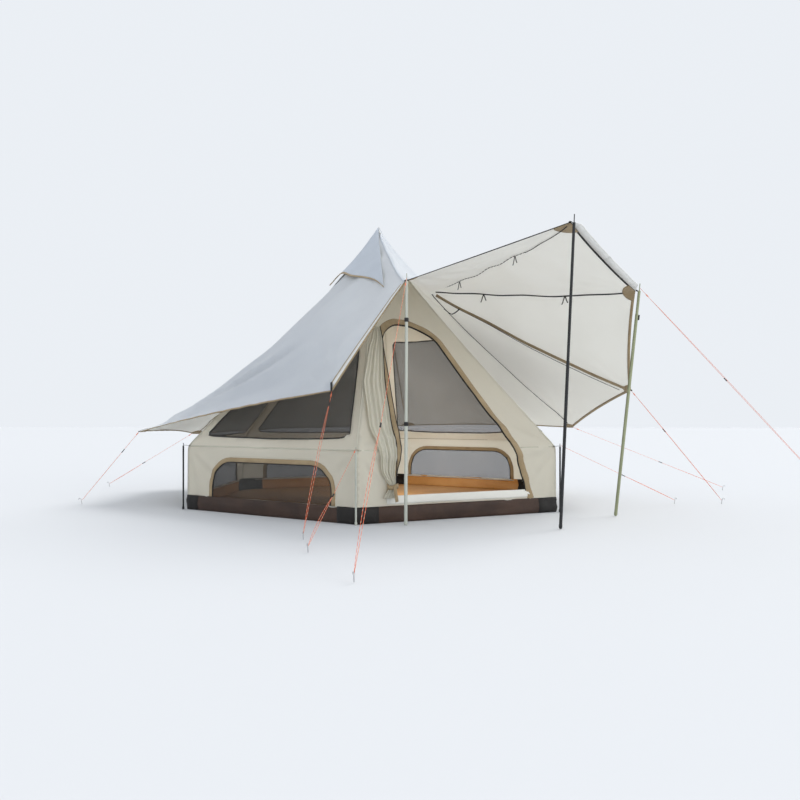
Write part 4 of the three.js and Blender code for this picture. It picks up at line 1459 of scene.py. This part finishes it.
def spaced_path(path, spacing):
    path = np.asarray(path, float)
    found = []
    for a, b in zip(path[:-1], path[1:]):
        steps = max(1, int(math.ceil(np.linalg.norm(b - a) / spacing)))
        found += [a + (b - a) * k / steps for k in range(steps)]
    return np.array(found + [path[-1]])


build_tent()
build_tent_seams()
build_flap()

# ---------------------------------------------------------------- groundsheet


def hexagon(radius):
    turn = np.radians(-90 + 360 / SIDES * np.arange(SIDES))
    return np.stack([radius * np.cos(turn), radius * np.sin(turn)], axis=1)


def build_groundsheet():
    """The tub: a laid floor, and a mud skirt that stands up round it and leans a little unevenly."""
    flat, triangles = fill(hexagon(CORNER_RADIUS - 0.012), [], 0.09)
    height = np.array([0.004 + 0.010 * max(0.0, noise.noise(Vector((x * 2.6, y * 2.6, 1.7)))) for x,
                       y in flat])
    upper = np.column_stack([flat, height])
    lower = np.column_stack([flat, np.zeros(len(flat))])
    points, faces = two_layers(upper, lower, triangles)
    floor = make_mesh("tub_floor", points, faces, [FLOOR_CLOTH_PAINTED_LIGHT])
    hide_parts("groundsheet")

    per_side, rows = 40, 6
    ring = spaced_loop(hexagon(CORNER_RADIUS), CORNER_RADIUS / per_side)
    outward = unit(np.column_stack([ring, np.zeros(len(ring))]))
    outer = []
    for k in range(rows + 1):
        share = k / rows
        z = share * (TUB_HEIGHT + 0.012)
        bulge = np.array([0.010 * math.sin(math.pi * share)
                          * (1 + 2.2 * noise.noise(Vector((x * 4 + z * 9, y * 4, z * 9))))
                          for x, y in ring])
        outer.append(np.column_stack([ring, np.full(len(ring), z)]) + outward * bulge[:, None])
    outer = np.array(outer)
    inner = outer - outward[None] * 0.006
    section = np.concatenate([outer, inner[::-1]], axis=0).transpose(1, 0, 2)
    points, faces = loft(section, closed=True)
    sides = 2 * (rows + 1)
    skirt = make_mesh("mud_skirt", points, faces, [MUD_SKIRT, FLOOR_CLOTH_PAINTED_LIGHT],
                      [int(k % sides > rows) for k in range(len(faces))])

    reach = 4
    for i in range(SIDES):
        middle = i * per_side
        columns = [(middle + k) % len(ring) for k in range(-reach, reach + 1)]
        patch = section[columns].copy()
        patch[:, :rows + 1] += outward[columns][:, None] * 0.003
        patch[:, rows + 1:] -= outward[columns][:, None] * 0.003
        points, faces = loft(patch)
        corner = make_mesh(f"skirt_corner_{i + 1}", points, faces, [SKIRT_PATCH])


build_groundsheet()

# ---------------------------------------------------------------- CAD pieces that stay

KEPT = {
    "centre_pole": DARK_STEEL, "eave_pole": DARK_STEEL, "front_pole": GREY_ALUMINIUM, "tall_pole": DARK_STEEL,
    "side_pole": OLIVE_ALUMINIUM,
}
for node, kept in NODES.items():
    if node.endswith(("_collar", "_lever")):
        finish = BLACK_PLASTIC
    elif node.endswith("_peg"):
        finish = PEG_STEEL
    elif node == "eave_pole_1":
        finish = GREY_ALUMINIUM
    else:
        finish = next((m for start, m in KEPT.items() if node.startswith(start)), None)
    if finish is not None:
        kept.data.materials.clear()
        kept.data.materials.append(finish)
